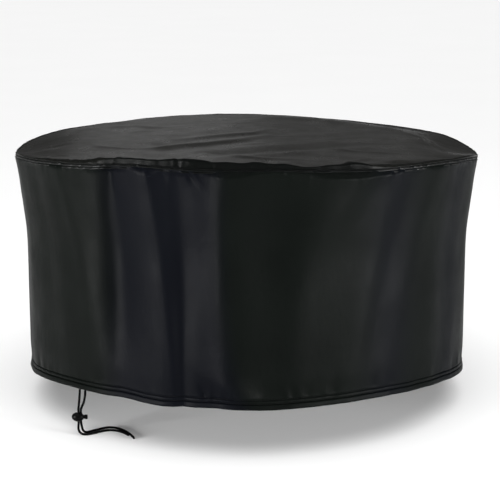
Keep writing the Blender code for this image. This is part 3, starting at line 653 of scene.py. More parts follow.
def smooth_value(rows, column, at):
    """Values of a table's column on a smooth curve, at many places along its first column."""
    places = np.array([row[0] for row in rows], float)
    values = np.array([getattr(row, column) for row in rows], float)
    before = np.maximum(np.arange(len(rows)) - 1, 0)
    after = np.minimum(np.arange(len(rows)) + 1, len(rows) - 1)
    slopes = (values[after] - values[before]) / (places[after] - places[before])
    high = np.clip(np.searchsorted(places, at, side="right"), 1, len(rows) - 1)
    low = high - 1
    span = places[high] - places[low]
    share = np.clip((at - places[low]) / span, 0.0, 1.0)
    bend_low = slopes[low] * span * share * (1.0 - share) ** 2
    bend_high = slopes[high] * span * share**2 * (1.0 - share)
    return mix(values[low], values[high], smooth_step(share)) + bend_low - bend_high


ROUND_SECTIONS = [
    row._replace(azimuth=row.azimuth + turn) for turn in (-360, 0, 360) for row in SECTIONS
]


def section_value(column, azimuth):
    return smooth_value(ROUND_SECTIONS, column, azimuth)


def turn_between(azimuth, other):
    return (azimuth - other + 180.0) % 360.0 - 180.0


def hump(distance, width):
    return np.exp(-((distance / width) ** 2))


def spot_sum(spots, azimuth):
    total = 0.0
    for spot in spots:
        total = total + spot.amount * hump(turn_between(azimuth, spot.azimuth), spot.width)
    return total


def soft_noise(across, along, cells, seed):
    """Smooth noise from -1 to 1; across repeats after 1, and along may take any value."""
    wide, high = cells
    lattice = np.random.default_rng(seed).uniform(-1.0, 1.0, (high + 2, wide))
    u = (across % 1.0) * wide
    v = np.clip(along, 0.0, 1.0) * high
    left = np.floor(u).astype(int)
    lower = np.floor(v).astype(int)
    share_u = smooth_step(u - left)
    share_v = smooth_step(v - lower)
    near = mix(lattice[lower, left % wide], lattice[lower, (left + 1) % wide], share_u)
    far = mix(lattice[lower + 1, left % wide], lattice[lower + 1, (left + 1) % wide], share_u)
    return mix(near, far, share_v)


def rippled(ripples, turn, along):
    total = 0.0
    for ripple in ripples:
        across = turn + ripple.slant * along
        total = total + ripple.height * soft_noise(across, along, ripple.cells, ripple.seed)
    return total


def unit(vectors):
    return vectors / np.linalg.norm(vectors, axis=-1, keepdims=True)


def around(radius, azimuth, height):
    """Points at radii and azimuths, with heights given from the rim's level."""
    angle = np.radians(azimuth)
    flat = np.broadcast_arrays(radius * np.sin(angle), -radius * np.cos(angle), RIM_LEVEL + height)
    return np.stack(flat, axis=-1)


# ---- the cloth's shape

def fold_azimuth(fold, fall):
    """A fold's azimuth on the parabola through its three places."""
    lean = 4.0 * fold.middle - 3.0 * fold.rim - fold.hem
    bow = 2.0 * (fold.rim + fold.hem) - 4.0 * fold.middle
    return fold.rim + lean * fall + bow * fall**2


def fold_offset(azimuth, fall):
    total = np.zeros(np.broadcast(azimuth, fall).shape)
    for fold in FOLDS:
        aside = turn_between(azimuth, fold_azimuth(fold, fall))
        width = mix(fold.rim_width, fold.hem_width, fall)
        width = width * np.where(aside < 0.0, 1.0 + fold.skew, 1.0 - fold.skew)
        upper = mix(fold.rim_depth, fold.mid_depth, smooth_step(2.0 * fall))
        depth = mix(upper, fold.hem_depth, smooth_step(2.0 * fall - 1.0))
        total += depth * hump(aside, width)
    return total * smooth_step(fall / FOLD_START)


def scattered_gathers(seed):
    """Small pinches drawn over the zones of the seam; the same ones each time for one seed."""
    draw = random.Random(seed)
    found = []
    for zone in GATHER_ZONES:
        for _ in range(zone.count):
            size = draw.uniform(*GATHER_SIZE)
            found.append(Pinch(
                azimuth=draw.uniform(zone.start, zone.end),
                lean=draw.gauss(0.0, GATHER_LEAN),
                width=draw.uniform(*GATHER_WIDTH),
                length=zone.length * draw.uniform(*GATHER_LENGTH),
                height=zone.height * size * draw.choice((-1.0, 1.0)),
            ))
    return found


def hem_gathers(seed):
    draw = random.Random(seed)
    found = []
    for _ in range(HEM_GATHERS):
        found.append(Pinch(
            azimuth=draw.uniform(-180.0, 180.0),
            lean=draw.gauss(0.0, HEM_GATHER_LEAN),
            width=draw.uniform(*HEM_GATHER_WIDTH),
            length=draw.uniform(*HEM_GATHER_LENGTH),
            height=draw.uniform(*HEM_GATHER_HEIGHT),
        ))
    return found


def pinch_offset(pinches, azimuth, distance):
    """How far pinches push the cloth out, at a distance from the line of stitches."""
    total = np.zeros(np.broadcast(azimuth, distance).shape)
    distance = np.maximum(distance, 0.0)
    for pinch in pinches:
        centre = pinch.azimuth + pinch.lean * distance
        width = pinch.width * (1.0 + PINCH_SPREAD * distance / pinch.length)
        fade = np.exp(-((distance / pinch.length) ** 1.5))
        grow = mix(PINCH_START, 1.0, smooth_step(distance / PINCH_ROOT))
        total += pinch.height * hump(turn_between(azimuth, centre), width) * fade * grow
    return total


SEAM_GATHERS = scattered_gathers(11)
TOP_GATHERS = scattered_gathers(23)
EDGE_GATHERS = hem_gathers(31)


def seam_shift(azimuth):
    """How the stitched seam wanders: out, and up."""
    turn = azimuth / 360.0
    out = rippled(SEAM_OUT, turn, 0.2)
    up = rippled(SEAM_UP, turn, 0.2) - spot_sum(SEAM_SAGS, azimuth)
    return out, up


def rolled_share(azimuth):
    """How far the seam is rolled under: 0 at the sides and back, 1 at the front."""
    at = turn_between(azimuth, 0.0)
    start = smooth_step((at - ROLLED_FROM) / ROLL_ENDS[0])
    return start * smooth_step((ROLLED_TO - at) / ROLL_ENDS[1])


def edge_shade_share(azimuth):
    """How much painted shade darkens the top panel's turned edge: most where it is rolled, not at the back."""
    aside = np.abs(turn_between(azimuth, 0.0))
    at_sides = EDGE_SHADE * (1.0 - smooth_step((aside - SIDE_END) / SIDE_FADE))
    return np.maximum(rolled_share(azimuth), at_sides)


def wall_radius(azimuth, fall, down, above):
    """The skirt's outer face, apart from its hem: down from the seam, above the hem's edge."""
    drift = rippled(WALL_DRIFT, azimuth / 360.0, fall) * smooth_step(down / NEAR_SEAM)
    radius = smooth_value(WALL, "radius", fall) + fold_offset(azimuth, fall) + drift
    radius += pinch_offset(SEAM_GATHERS, azimuth, down)
    radius += pinch_offset(RIM_PINCHES, azimuth, down)
    at_hem = pinch_offset((*HEM_PINCHES, *EDGE_GATHERS), azimuth, above - UPPER_STITCHES)
    return radius + at_hem * smooth_step((above - HEM_TOP) / HEM_BLEND)


def hem_drift(azimuth, above):
    """The hem's small waves: the drawn-in tube, and puckers between its rows of stitches."""
    turn = azimuth / 360.0
    tube = hump(above - HEM_TUBE[0], HEM_TUBE[1])
    band = hump(above - HEM_BAND[0], HEM_BAND[1])
    return (tube * rippled(HEM_TUBE_WAVES, turn, 0.3)
            + band * rippled(HEM_BAND_PUCKERS, turn, 0.3))


SKIRT_AZIMUTHS = np.concatenate([np.linspace(*arc, endpoint=False) for arc in SKIRT_ARCS])


def skirt_surface(azimuth, down, above, out):
    """Points of the skirt: down from the seam and above the edge say where, out how far off."""
    seam_out, seam_up = seam_shift(azimuth)
    near_seam = 1.0 - smooth_step(down / NEAR_SEAM)
    drop = section_value("drop", azimuth)
    fall = down / drop
    radius = wall_radius(azimuth, fall, down, above) + out + seam_out * near_seam
    height = section_value("rim", azimuth) - down + seam_up * near_seam
    height += rippled(HEM_EDGE_WAVES, azimuth / 360.0, 0.5) * hump(above, EDGE_REACH)
    return around(radius, azimuth, height)


def skirt_rows(azimuth):
    """Down, above and out for each row of the skirt at each azimuth."""
    drop = section_value("drop", azimuth)
    still = 0.0 * azimuth
    downs = [down + still for down in RIM_ROWS]
    start, end = RIM_ROWS[-1], drop - LOW_ROWS[0]
    downs += [mix(start, end, row / MIDDLE_ROWS) for row in range(1, MIDDLE_ROWS)]
    rows = [(down, drop - down, still) for down in downs]
    rows += [(drop - above, above + still, still) for above in LOW_ROWS]
    for turn in HEM_TURNS:
        above = turn.above + still
        rows.append((drop - above, above, turn.out + hem_drift(azimuth, above)))
    return rows


def crease_offset(creases, x, y):
    """How far creases lift the top panel at points; each is highest in the middle of its line."""
    total = np.zeros(np.shape(x))
    for crease in creases:
        corners = [np.array(corner) for corner in crease.line]
        lengths = [math.dist(*pair) for pair in zip(corners, corners[1:])]
        nearest = np.full(np.shape(x), 9.0)
        place = np.zeros(np.shape(x))
        passed = 0.0
        for start, end, length in zip(corners, corners[1:], lengths):
            run = end - start
            share = ((x - start[0]) * run[0] + (y - start[1]) * run[1]) / length**2
            share = np.clip(share, 0.0, 1.0)
            distance = np.hypot(x - start[0] - run[0] * share, y - start[1] - run[1] * share)
            closer = distance < nearest
            nearest = np.where(closer, distance, nearest)
            place = np.where(closer, passed + share * length, place)
            passed += length
        total += crease.height * hump(nearest, crease.width) * taper(place / passed, crease)
    return total


def taper(place, crease):
    """A fine crease dies away towards both its ends."""
    if crease in BROAD_CREASES:
        return 1.0
    return mix(CREASE_END, 1.0, np.sin(np.pi * place))


def top_height(x, y, azimuth, inset, swell):
    """How high the top panel stands over plan points, apart from its gathers."""
    seam = section_value("rim", azimuth)
    shoulder = mix(SHOULDER_EDGE, section_value("shoulder", azimuth), swell)
    inward = smooth_step(inset / (RIM_RADIUS - section_value("plateau", azimuth)))
    height = mix(seam + shoulder, PLATEAU_RISE, inward)
    height += spot_sum(LOBES, azimuth) * swell * (1.0 - smooth_step(inset / LOBE_REACH))
    creases = crease_offset(BROAD_CREASES, x, y) + crease_offset(FINE_CREASES, x, y)
    across = 0.45 + 0.45 * x / RIM_RADIUS
    along = 0.5 + 0.5 * y / RIM_RADIUS
    ease = smooth_step((inset - SHOULDER_WIDTH) / (2.0 * SHOULDER_WIDTH))
    return height + (creases + rippled(TOP_RIPPLES, across, along)) * ease


def top_surface(x, y):
    """The top panel's upper face over plan points, with the gathers along its edge."""
    azimuth = np.degrees(np.arctan2(x, -y))
    distance = np.hypot(x, y)
    inset = RIM_RADIUS - distance
    turned = np.clip((inset - TOP_INSETS[0]) / SHOULDER_WIDTH, 0.0, 1.0)
    leaning = 1.0 - turned
    seam_out, seam_up = seam_shift(azimuth)
    near_seam = 1.0 - smooth_step(inset / NEAR_SEAM)
    gather = pinch_offset(TOP_GATHERS, azimuth, inset)
    radius = distance + (seam_out + gather * leaning) * near_seam
    radius += OVERHANG * rolled_share(azimuth) * 4.0 * turned * leaning
    height = top_height(x, y, azimuth, inset, np.sqrt(1.0 - leaning**2))
    return around(radius, azimuth, height + seam_up * near_seam + gather * turned)


def tape_surface(azimuth, up, depth):
    """The rim tape, which the stitches pull in and the cloth puckers between them."""
    seam_out, seam_up = seam_shift(azimuth)
    turn = azimuth / 360.0
    slanted = turn + TAPE_SLANT * np.sin(np.radians(azimuth)) * up
    pillow = sum(hump(up - place, width) for place, width in TAPE_PILLOWS)
    pucker = rippled(TAPE_PUCKERS, slanted, 0.4) * mix(SIDE_PUCKER, 1.0, rolled_share(azimuth))
    tilt = rippled(TAPE_TILT, slanted, 0.4) * up
    outer = smooth_step((TAPE_OUTER - depth) / 0.0015)
    radius = RIM_RADIUS - depth + seam_out + (pillow * pucker + tilt) * outer
    radius += pinch_offset(SEAM_GATHERS, azimuth, -up) * smooth_step(-up / TAPE_CORNER)
    radius += TAPE_ROLL * rolled_share(azimuth) * up
    at_back = smooth_step((np.abs(turn_between(azimuth, 0.0)) - TAPE_LIFT_FROM) / SIDE_FADE)
    height = section_value("rim", azimuth) + up + seam_up + TAPE_LIFT * at_back
    return around(radius, azimuth, height)


# ---- meshes

def add_object(name, points, faces):
    mesh = bpy.data.meshes.new(name)
    mesh.from_pydata(np.reshape(points, (-1, 3)).tolist(), [], faces)
    mesh.shade_smooth()
    made = bpy.data.objects.new(name, mesh)
    bpy.context.scene.collection.objects.link(made)
    return made


def grid_faces(rows, columns, wrap_rows=False):
    """Faces of a grid whose columns close into a ring; rows run down its outer side."""
    row = np.arange(rows if wrap_rows else rows - 1)[:, None]
    column = np.arange(columns)[None, :]
    below = (row + 1) % rows
    beside = (column + 1) % columns
    corners = (
        row * columns + column,
        below * columns + column,
        below * columns + beside,
        row * columns + beside,
    )
    return np.stack(corners, axis=-1).reshape(-1, 4)


def set_cloth_map(made, u, v):
    """UV map in metres of cloth, from its values at the corners of the faces."""
    layer = made.data.uv_layers.new(name="cloth")
    layer.data.foreach_set("uv", np.stack((u, v), axis=-1).ravel())


def corner_points(made):
    corners = np.zeros(len(made.data.loops), int)
    made.data.loops.foreach_get("vertex_index", corners)
    return corners


def make_ring(name, azimuth, points, v, wrap_rows=False):
    """A piece of cloth that goes right round; its map's u goes on to the full turn there."""
    faces = grid_faces(*points.shape[:2], wrap_rows)
    made = add_object(name, points, faces.tolist())
    length = math.tau * RIM_RADIUS
    around_u = np.broadcast_to(azimuth % 360.0 / 360.0 * length, points.shape[:2])
    u = around_u.ravel()[faces]
    closing = (np.ptp(u, axis=1) > 0.5 * length)[:, None] & (u < 0.5 * length)
    set_cloth_map(made, np.where(closing, u + length, u), v.ravel()[faces])
    return made


def set_point_value(made, name, values):
    attribute = made.data.attributes.new(name, "FLOAT", "POINT")
    attribute.data.foreach_set("value", np.asarray(values, float).ravel())


def give_finish(made, finish):
    made.data.materials.clear()
    made.data.materials.append(finish)
    return made


def select_only(made):
    for other in bpy.context.selected_objects:
        other.select_set(False)
    made.select_set(True)
    bpy.context.view_layer.objects.active = made


def apply_modifiers(made):
    select_only(made)
    for modifier in list(made.modifiers):
        bpy.ops.object.modifier_apply(modifier=modifier.name)


def give_thickness(made):
    shell = made.modifiers.new("cloth", "SOLIDIFY")
    shell.thickness = CLOTH
    shell.offset = -1.0
    apply_modifiers(made)


# ---- materials

class Nodes:
    """A material's node tree, with short ways to add and link nodes."""

    def __init__(self, name):
        self.material = bpy.data.materials.new(name)
        self.material.use_nodes = True
        self.tree = self.material.node_tree

    def feed(self, socket, value):
        if isinstance(value, bpy.types.NodeSocket):
            self.tree.links.new(value, socket)
        else:
            socket.default_value = value

    def node(self, kind, output, inputs, **settings):
        """Adds a node, feeds its inputs with sockets or values, and gives back one output."""
        made = self.tree.nodes.new("ShaderNode" + kind)
        for key, setting in settings.items():
            setattr(made, key, setting)
        for key, value in inputs.items():
            self.feed(made.inputs[key], value)
        return made.outputs[output]

    def math(self, operation, first, second=0.0):
        return self.node("Math", 0, {0: first, 1: second}, operation=operation)

    def colours(self, factor, first, second):
        inputs = {"Factor": factor, "A": first, "B": second}
        return self.node("Mix", "Result", inputs, data_type="RGBA")

    def between(self, value, low, high, to_low=0.0, to_high=1.0):
        inputs = {"Value": value, "From Min": low, "From Max": high, "To Min": to_low,
                  "To Max": to_high}
        return self.node("MapRange", "Result", inputs)

    def noise(self, vector, scale, detail=3.0, roughness=0.5):
        inputs = {"Vector": vector, "Scale": scale, "Detail": detail, "Roughness": roughness}
        return self.node("TexNoise", "Fac", inputs)

    def stretched(self, vector, scale, turn=0.0):
        inputs = {"Vector": vector, "Scale": scale, "Rotation": (0.0, 0.0, turn)}
        return self.node("Mapping", "Vector", inputs)

    def bump(self, height, distance, strength, under=None):
        inputs = {"Height": height, "Distance": distance, "Strength": strength}
        if under:
            inputs["Normal"] = under
        return self.node("Bump", "Normal", inputs)

    def attribute(self, name):
        return self.node("Attribute", "Fac", {}, attribute_name=name)

    def place(self):
        return self.node("TexCoord", "Object", {})

    def cloth_map(self):
        return self.node("UVMap", "UV", {}, uv_map="cloth")

    def finish(self, colour, roughness, gloss, normal=None):
        """Feeds the shader, and gives back the material."""
        shader = self.tree.nodes["Principled BSDF"]
        self.feed(shader.inputs["Base Color"], colour)
        self.feed(shader.inputs["Roughness"], roughness)
        self.feed(shader.inputs["Specular IOR Level"], gloss)
        if normal:
            self.feed(shader.inputs["Normal"], normal)
        return self.material


def shade(colour, share=1.0):
    return (*(share * part for part in colour), 1.0)


def grey(value):
    return (value, value, value, 1.0)


def weave_height(nodes, cloth_map):
    """Plain weave: warp and weft threads that go over each other in turn."""
    waves = []
    for axis in ("X", "Y"):
        place = nodes.node("SeparateXYZ", axis, {0: cloth_map})
        waves.append(nodes.math("SINE", nodes.math("MULTIPLY", place, math.pi / WEAVE_PITCH)))
    over = nodes.math("MULTIPLY", *waves)
    thread = nodes.math("ADD", *(nodes.math("ABSOLUTE", wave) for wave in waves))
    return nodes.math("ADD", nodes.math("MULTIPLY", over, 0.6), nodes.math("MULTIPLY", thread, 0.4))


def coated_cloth(name, colour, violet=None, crinkle=0.0011, roughness=0.46, gloss=0.026,
                 edge_gloss=None):
    """Coated plain-weave cloth: soft cloudy colour, fine crinkles and a faint weave, with painted shade between its
    threads and, where asked, a painted violet sheen and a painted shaded edge.
    """
    nodes = Nodes(name)
    cloth_map = nodes.cloth_map()
    place = nodes.place()
    clouds = nodes.noise(place, 5.0, 4.0, 0.55)
    worn = nodes.noise(nodes.stretched(cloth_map, (1.0, 0.35, 1.0)), 22.0, 5.0, 0.6)
    darker = shade(colour, 0.84)
    tone = nodes.colours(nodes.between(clouds, 0.32, 0.68), darker, shade(colour, 1.16))
    tone = nodes.colours(nodes.between(worn, 0.56, 0.78, 0.0, 0.35), tone, shade(colour, 1.35))
    # Painted violet sheen, mixed into the colour where the violet attribute says
    if violet:
        tone = nodes.colours(nodes.attribute("violet"), tone, shade(violet))
    # Painted shade: the turned edge is painted dark, and its gloss drops there
    if edge_gloss:
        turned = nodes.attribute("turned")
        tone = nodes.colours(turned, tone, shade(EDGE_SHADE_BLACK))
        gloss = nodes.between(turned, 0.0, 1.0, gloss, edge_gloss)
    weave = weave_height(nodes, cloth_map)
    # Painted shade: a little darker where the weave lies low, between the threads
    tone = nodes.colours(nodes.between(weave, 0.0, 1.0, 0.10, 0.0), tone, darker)
    smears = nodes.noise(place, 9.0, 3.0, 0.6)
    smears = nodes.between(smears, 0.3, 0.7, roughness - 0.05, roughness + 0.06)
    creasing = nodes.noise(nodes.stretched(cloth_map, (1.0, 0.45, 1.0), 0.35), 30.0, 4.0, 0.55)
    rippling = nodes.noise(nodes.stretched(cloth_map, (0.5, 1.0, 1.0), -0.5), 75.0, 3.0, 0.5)
    normal = nodes.bump(creasing, crinkle * 3.0, 0.30)
    normal = nodes.bump(rippling, crinkle * 0.8, 0.30, under=normal)
    normal = nodes.bump(weave, 0.00012, 0.6, under=normal)
    return nodes.finish(tone, smears, gloss, normal)


def thread_finish():
    """Polyester sewing thread, twisted, a little glossier than the cloth."""
    nodes = Nodes("sewing_thread")
    place = nodes.place()
    tone = nodes.colours(nodes.noise(place, 600.0), grey(0.003), grey(0.007))
    roughness = nodes.between(nodes.noise(place, 900.0), 0.3, 0.7, 0.55, 0.70)
    return nodes.finish(tone, roughness, 0.10, nodes.bump(nodes.noise(place, 2500.0), 0.0001, 0.5))


def braid_finish():
    """Black braided cord: yarns run along each carrier, with painted shade in the grooves between them, and the cut
    ends are melted smooth.
    """
    nodes = Nodes("braided_cord")
    melted = nodes.attribute("melted")
    dust = nodes.between(nodes.noise(nodes.place(), 60.0), 0.4, 0.7, 0.0, 0.4)
    # Painted shade: darker in the grooves between the carriers, lighter on their crests
    tone = nodes.colours(nodes.attribute("crossing"), grey(0.0006), shade((0.0022, 0.0022, 0.0023)))
    tone = nodes.colours(dust, tone, shade((0.0030, 0.0030, 0.0029)))
    tone = nodes.colours(melted, tone, grey(0.0030))
    yarns = nodes.stretched(nodes.cloth_map(), (2600.0, 500.0, 1.0), 0.7)
    normal = nodes.bump(nodes.noise(yarns, 1.0, 2.0), 0.0002, 0.6)
    return nodes.finish(tone, nodes.between(melted, 0.0, 1.0, 0.72, 0.30), 0.010, normal)


def moulded_plastic(name, colour, roughness):
    """Moulded black plastic with a fine spark texture and handling marks."""
    nodes = Nodes(name)
    place = nodes.place()
    spark = nodes.noise(place, 2400.0, 2.0, 0.6)
    marks = nodes.noise(place, 160.0, 4.0, 0.6)
    worn = nodes.between(marks, 0.45, 0.75, 0.0, 0.6)
    tone = nodes.colours(worn, shade(colour), shade(colour, 1.6))
    marks = nodes.between(marks, 0.3, 0.7, roughness - 0.06, roughness + 0.08)
    return nodes.finish(tone, marks, 0.045, nodes.bump(spark, 0.00008, 0.5))


# ---- camera, light and floor

def set_camera():
    lens = bpy.data.cameras.new("camera")
    lens.lens = CAMERA_LENS
    lens.clip_end = 200.0
    camera = bpy.data.objects.new("camera", lens)
    camera.location = CAMERA_PLACE
    camera.rotation_euler = (math.radians(90.0 - CAMERA_TILT), 0.0, 0.0)
    bpy.context.scene.collection.objects.link(camera)
    bpy.context.scene.camera = camera


def add_lamp(name, kind, power):
    light = bpy.data.lights.new(name, kind)
    light.energy = power
    lamp = bpy.data.objects.new(name, light)
    bpy.context.scene.collection.objects.link(lamp)
    return lamp


def add_softbox(box):
    lamp = add_lamp(box.name, "AREA", box.power)
    lamp.data.shape = "RECTANGLE"
    lamp.data.size = box.width
    lamp.data.size_y = box.height
    lamp.location = box.place
    aim = Vector(box.target) - Vector(box.place)
    lamp.rotation_euler = aim.to_track_quat("-Z", "Y").to_euler()


def set_light():
    bpy.context.scene.view_settings.view_transform = "Standard"
    world = bpy.data.worlds.new("studio")
    world.use_nodes = True
    background = world.node_tree.nodes["Background"]
    background.inputs["Color"].default_value = (1.0, 1.0, 1.0, 1.0)
    background.inputs["Strength"].default_value = WORLD_STRENGTH
    bpy.context.scene.world = world
    overhead = add_lamp("overhead", "SUN", OVERHEAD_STRENGTH)
    overhead.data.angle = math.radians(OVERHEAD_SPREAD)
    for box in SOFTBOXES:
        add_softbox(box)


def lay_floor():
    level = RIM_LEVEL + FLOOR_HEIGHT
    bpy.ops.mesh.primitive_plane_add(size=FLOOR_SIZE, location=(0.0, 0.0, level))
    floor = bpy.context.object
    floor.name = "floor"
    nodes = Nodes("pale_floor")
    tone = nodes.colours(nodes.noise(nodes.place(), 0.8, 2.0), grey(0.88), grey(0.90))
    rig.stage(give_finish(floor, nodes.finish(tone, 0.9, 0.1)))


# ---- drawcord

def smooth_route(route):
    """Points on one smooth curve through the route's own points."""
    knots = [Vector(point) + Vector((0.0, 0.0, RIM_LEVEL)) for point in route]
    ends = [knots[0] * 2.0 - knots[1]] + knots + [knots[-1] * 2.0 - knots[-2]]
    points = [knots[0]]
    for index in range(1, len(ends) - 2):
        before, start, end, after = ends[index - 1:index + 3]
        pieces = max(1, round((end - start).length / ROUTE_STEP))
        for piece in range(1, pieces + 1):
            share = piece / pieces
            leave = (end - before) * 0.5 * share * (1.0 - share) ** 2
            arrive = (after - start) * 0.5 * share**2 * (1.0 - share)
            eased = share * share * (3.0 - 2.0 * share)
            points.append(start.lerp(end, eased) + leave - arrive)
    return points


def evenly_spaced(points, step):
    line = np.array([tuple(point) for point in points])
    lengths = np.linalg.norm(np.diff(line, axis=0), axis=1)
    reached = np.concatenate(([0.0], np.cumsum(lengths)))
    places = np.linspace(0.0, reached[-1], round(reached[-1] / step) + 1)
    return np.stack([np.interp(places, reached, line[:, axis]) for axis in range(3)], 1), places


def carried_frames(line):
    """Two directions across the line at each point, turning as little as they can along it."""
    along = unit(np.gradient(line, axis=0))
    side = Vector(along[0]).orthogonal().normalized()
    sides = []
    for direction in along:
        direction = Vector(direction)
        side = (side - direction * side.dot(direction)).normalized()
        sides.append(tuple(side))
    sides = np.array(sides)
    return sides, np.cross(along, sides), along


def braid_relief(turn, distance):
    """Relief from 0 to 1 of a braid, at a share of the turn and a distance along the cord."""
    one_way = BRAID_CARRIERS * turn + distance / BRAID_CELL
    other_way = BRAID_CARRIERS * turn - distance / BRAID_CELL
    first = one_way - np.floor(one_way) - 0.5
    second = other_way - np.floor(other_way) - 0.5
    over = (np.floor(one_way) + np.floor(other_way)) % 2 == 0
    across = np.where(over, first, second)
    lengthways = np.where(over, second, first)
    return np.sqrt(np.maximum(1.0 - (2.0 * across) ** 2, 0.0)) * (1.0 - 1.6 * lengthways**2)


def strand_faces(count):
    """Faces of a strand with so many rings, and a point at each end."""
    faces = [tuple(face) for face in grid_faces(count, BRAID_SIDES)[:, ::-1]]
    first, last = count * BRAID_SIDES, count * BRAID_SIDES + 1
    end = (count - 1) * BRAID_SIDES
    for side in range(BRAID_SIDES):
        beside = (side + 1) % BRAID_SIDES
        faces.append((first, beside, side))
        faces.append((last, end + side, end + beside))
    return faces


def make_strand(name, route, finish):
    """A braided strand, its cut end sealed by heat, and its other end up inside the hem."""
    line, places = evenly_spaced(smooth_route(route), BRAID_STEP)
    sides, lifts, along = carried_frames(line)
    count = len(line)
    turn = np.arange(BRAID_SIDES)[None, :] / BRAID_SIDES
    distance = places[:, None] + 0 * turn
    to_end = places[-1] - distance
    melted = smooth_step(1.0 - to_end / MELTED_LENGTH)
    relief = braid_relief(turn, distance)
    radius = 0.5 * CORD_DIAMETER - BRAID_RELIEF * (1.0 - relief) * (1.0 - 0.8 * melted)
    rounding = np.minimum(to_end / END_ROUNDING, 1.0)
    radius *= np.sqrt(np.maximum(1.0 - (1.0 - rounding) ** 2, 0.05))
    angle = math.tau * turn
    points = (line[:, None, :]
              + sides[:, None, :] * (radius * np.cos(angle))[..., None]
              + lifts[:, None, :] * (radius * np.sin(angle))[..., None])
    points = np.concatenate((points.reshape(-1, 3), line[:1], line[-1:] + along[-1:] * 0.0001))
    strand = add_object(name, points, strand_faces(count))
    set_point_value(strand, "melted", np.append(melted, (0.0, 1.0)))
    # The braid's relief, which the finish also uses for painted shade in its grooves
    set_point_value(strand, "crossing", np.append(relief, (0.0, 1.0)))
    corners = np.minimum(corner_points(strand), count * BRAID_SIDES - 1)
    u = (corners % BRAID_SIDES) / BRAID_SIDES * math.pi * CORD_DIAMETER
    set_cloth_map(strand, u, places[corners // BRAID_SIDES])
    path = line[::8].tolist() + [line[-1].tolist()]
    return give_finish(strand, finish), path, float(places[-1])


# ---- cord lock

def settle(made):
    """Puts the object at the origin, with its place in its mesh."""
    select_only(made)
    bpy.ops.object.transform_apply(location=True, rotation=True, scale=True)


def take_away(made, cutter):
    step = made.modifiers.new("cut", "BOOLEAN")
    step.operation = "DIFFERENCE"
    step.object = cutter
    apply_modifiers(made)
    bpy.data.objects.remove(cutter)


def lock_block(start, end):
    """A block along X between two places, as deep as the passage and higher than the ball."""
    bpy.ops.mesh.primitive_cube_add(size=1.0, location=(0.5 * (start + end), LOCK_Y, LOCK_Z))
    block = bpy.context.object
    block.scale = (end - start, PASSAGE_DEPTH, 4.0 * BALL_HALF_HEIGHT)
    settle(block)
    return block


def turn_shape(name, profile):
    """A turned shape along +X from the origin, from a profile of places and radii."""
    bpy.ops.mesh.primitive_plane_add(size=0.001)
    made = bpy.context.object
    made.name = name
    bpy.ops.object.mode_set(mode="EDIT")
    bpy.ops.mesh.select_all(action="SELECT")
    bpy.ops.mesh.merge(type="CENTER")
    bpy.ops.transform.translate(value=(profile[0][0], 0.0, profile[0][1]))
    for before, after in zip(profile, profile[1:]):
        step = (after[0] - before[0], 0.0, after[1] - before[1])
        bpy.ops.mesh.extrude_region_move(TRANSFORM_OT_translate={"value": step})
    bpy.ops.mesh.select_all(action="SELECT")
    bpy.ops.mesh.spin(
        steps=LATHE_STEPS, angle=math.tau, center=(0.0, 0.0, 0.0), axis=(1.0, 0.0, 0.0)
    )
    bpy.ops.mesh.select_all(action="SELECT")
    bpy.ops.mesh.remove_doubles(threshold=0.00001)
    bpy.ops.mesh.normals_make_consistent(inside=False)
    bpy.ops.object.mode_set(mode="OBJECT")
    bpy.ops.object.shade_smooth_by_angle(angle=math.radians(SMOOTH_ANGLE))
    return made


def ball_profile():
    """The oval ball from its closed end to its lip, and back in down its bore."""
    mouth = (MOUTH_X - BALL_MIDDLE) / BALL_HALF_LENGTH
    profile = []
    for step in range(BALL_STEPS):
        place = -math.cos(math.pi * step / BALL_STEPS)
        if place > mouth - LIP_START:
            break
        radius = BALL_HALF_HEIGHT * math.sqrt(max(1.0 - place * place, 0.0))
        profile.append((place * BALL_HALF_LENGTH, radius))
    end = mouth * BALL_HALF_LENGTH
    lip = BALL_HALF_HEIGHT * math.sqrt(1.0 - mouth * mouth)
    profile += [(end - back, lip + out) for back, out in LIP]
    bore_end = BORE_END_X - BALL_MIDDLE
    return profile + [(end, BORE_RADIUS + 0.0004), (end - 0.0004, BORE_RADIUS),
                      (bore_end, BORE_RADIUS), (bore_end, 0.0)]


def make_lock_body(finish):
    body = turn_shape("cord_lock_ball", ball_profile())
    body.location = (BALL_MIDDLE, LOCK_Y, LOCK_Z)
    settle(body)
    passage = lock_block(PASSAGE_START, PASSAGE_END)
    rounded = passage.modifiers.new("rounded", "BEVEL")
    rounded.width = PASSAGE_ROUNDING
    rounded.segments = 5
    rounded.limit_method = "ANGLE"
    apply_modifiers(passage)
    take_away(body, passage)
    select_only(body)
    bpy.ops.object.shade_smooth_by_angle(angle=math.radians(SMOOTH_ANGLE))
    return give_finish(body, finish)


def make_button(finish):
    """The pin with its slot, and the button with grip rings and a dished end."""
    start = BUTTON_X - MOUTH_X
    pin_end = start - PIN_LENGTH
    profile = [(pin_end, 0.0), (pin_end, PIN_RADIUS - 0.0005), (pin_end + 0.0005, PIN_RADIUS),
               (start, PIN_RADIUS), (start, 0.0069), (start + 0.0006, BUTTON_RADIUS)]
    for groove in range(GRIP_GROOVES):
        at = start + GRIP_PITCH * (groove + 1)
        profile += [(at + along, BUTTON_RADIUS - depth) for along, depth in GRIP_GROOVE]
    profile += [(start + along, radius) for along, radius in BUTTON_END]
    button = turn_shape("cord_lock_button", profile)
    button.location = (MOUTH_X, LOCK_Y, LOCK_Z)
    settle(button)
    take_away(button, lock_block(SLOT_START, SLOT_END))
    return give_finish(button, finish)


# ---- cloth pieces

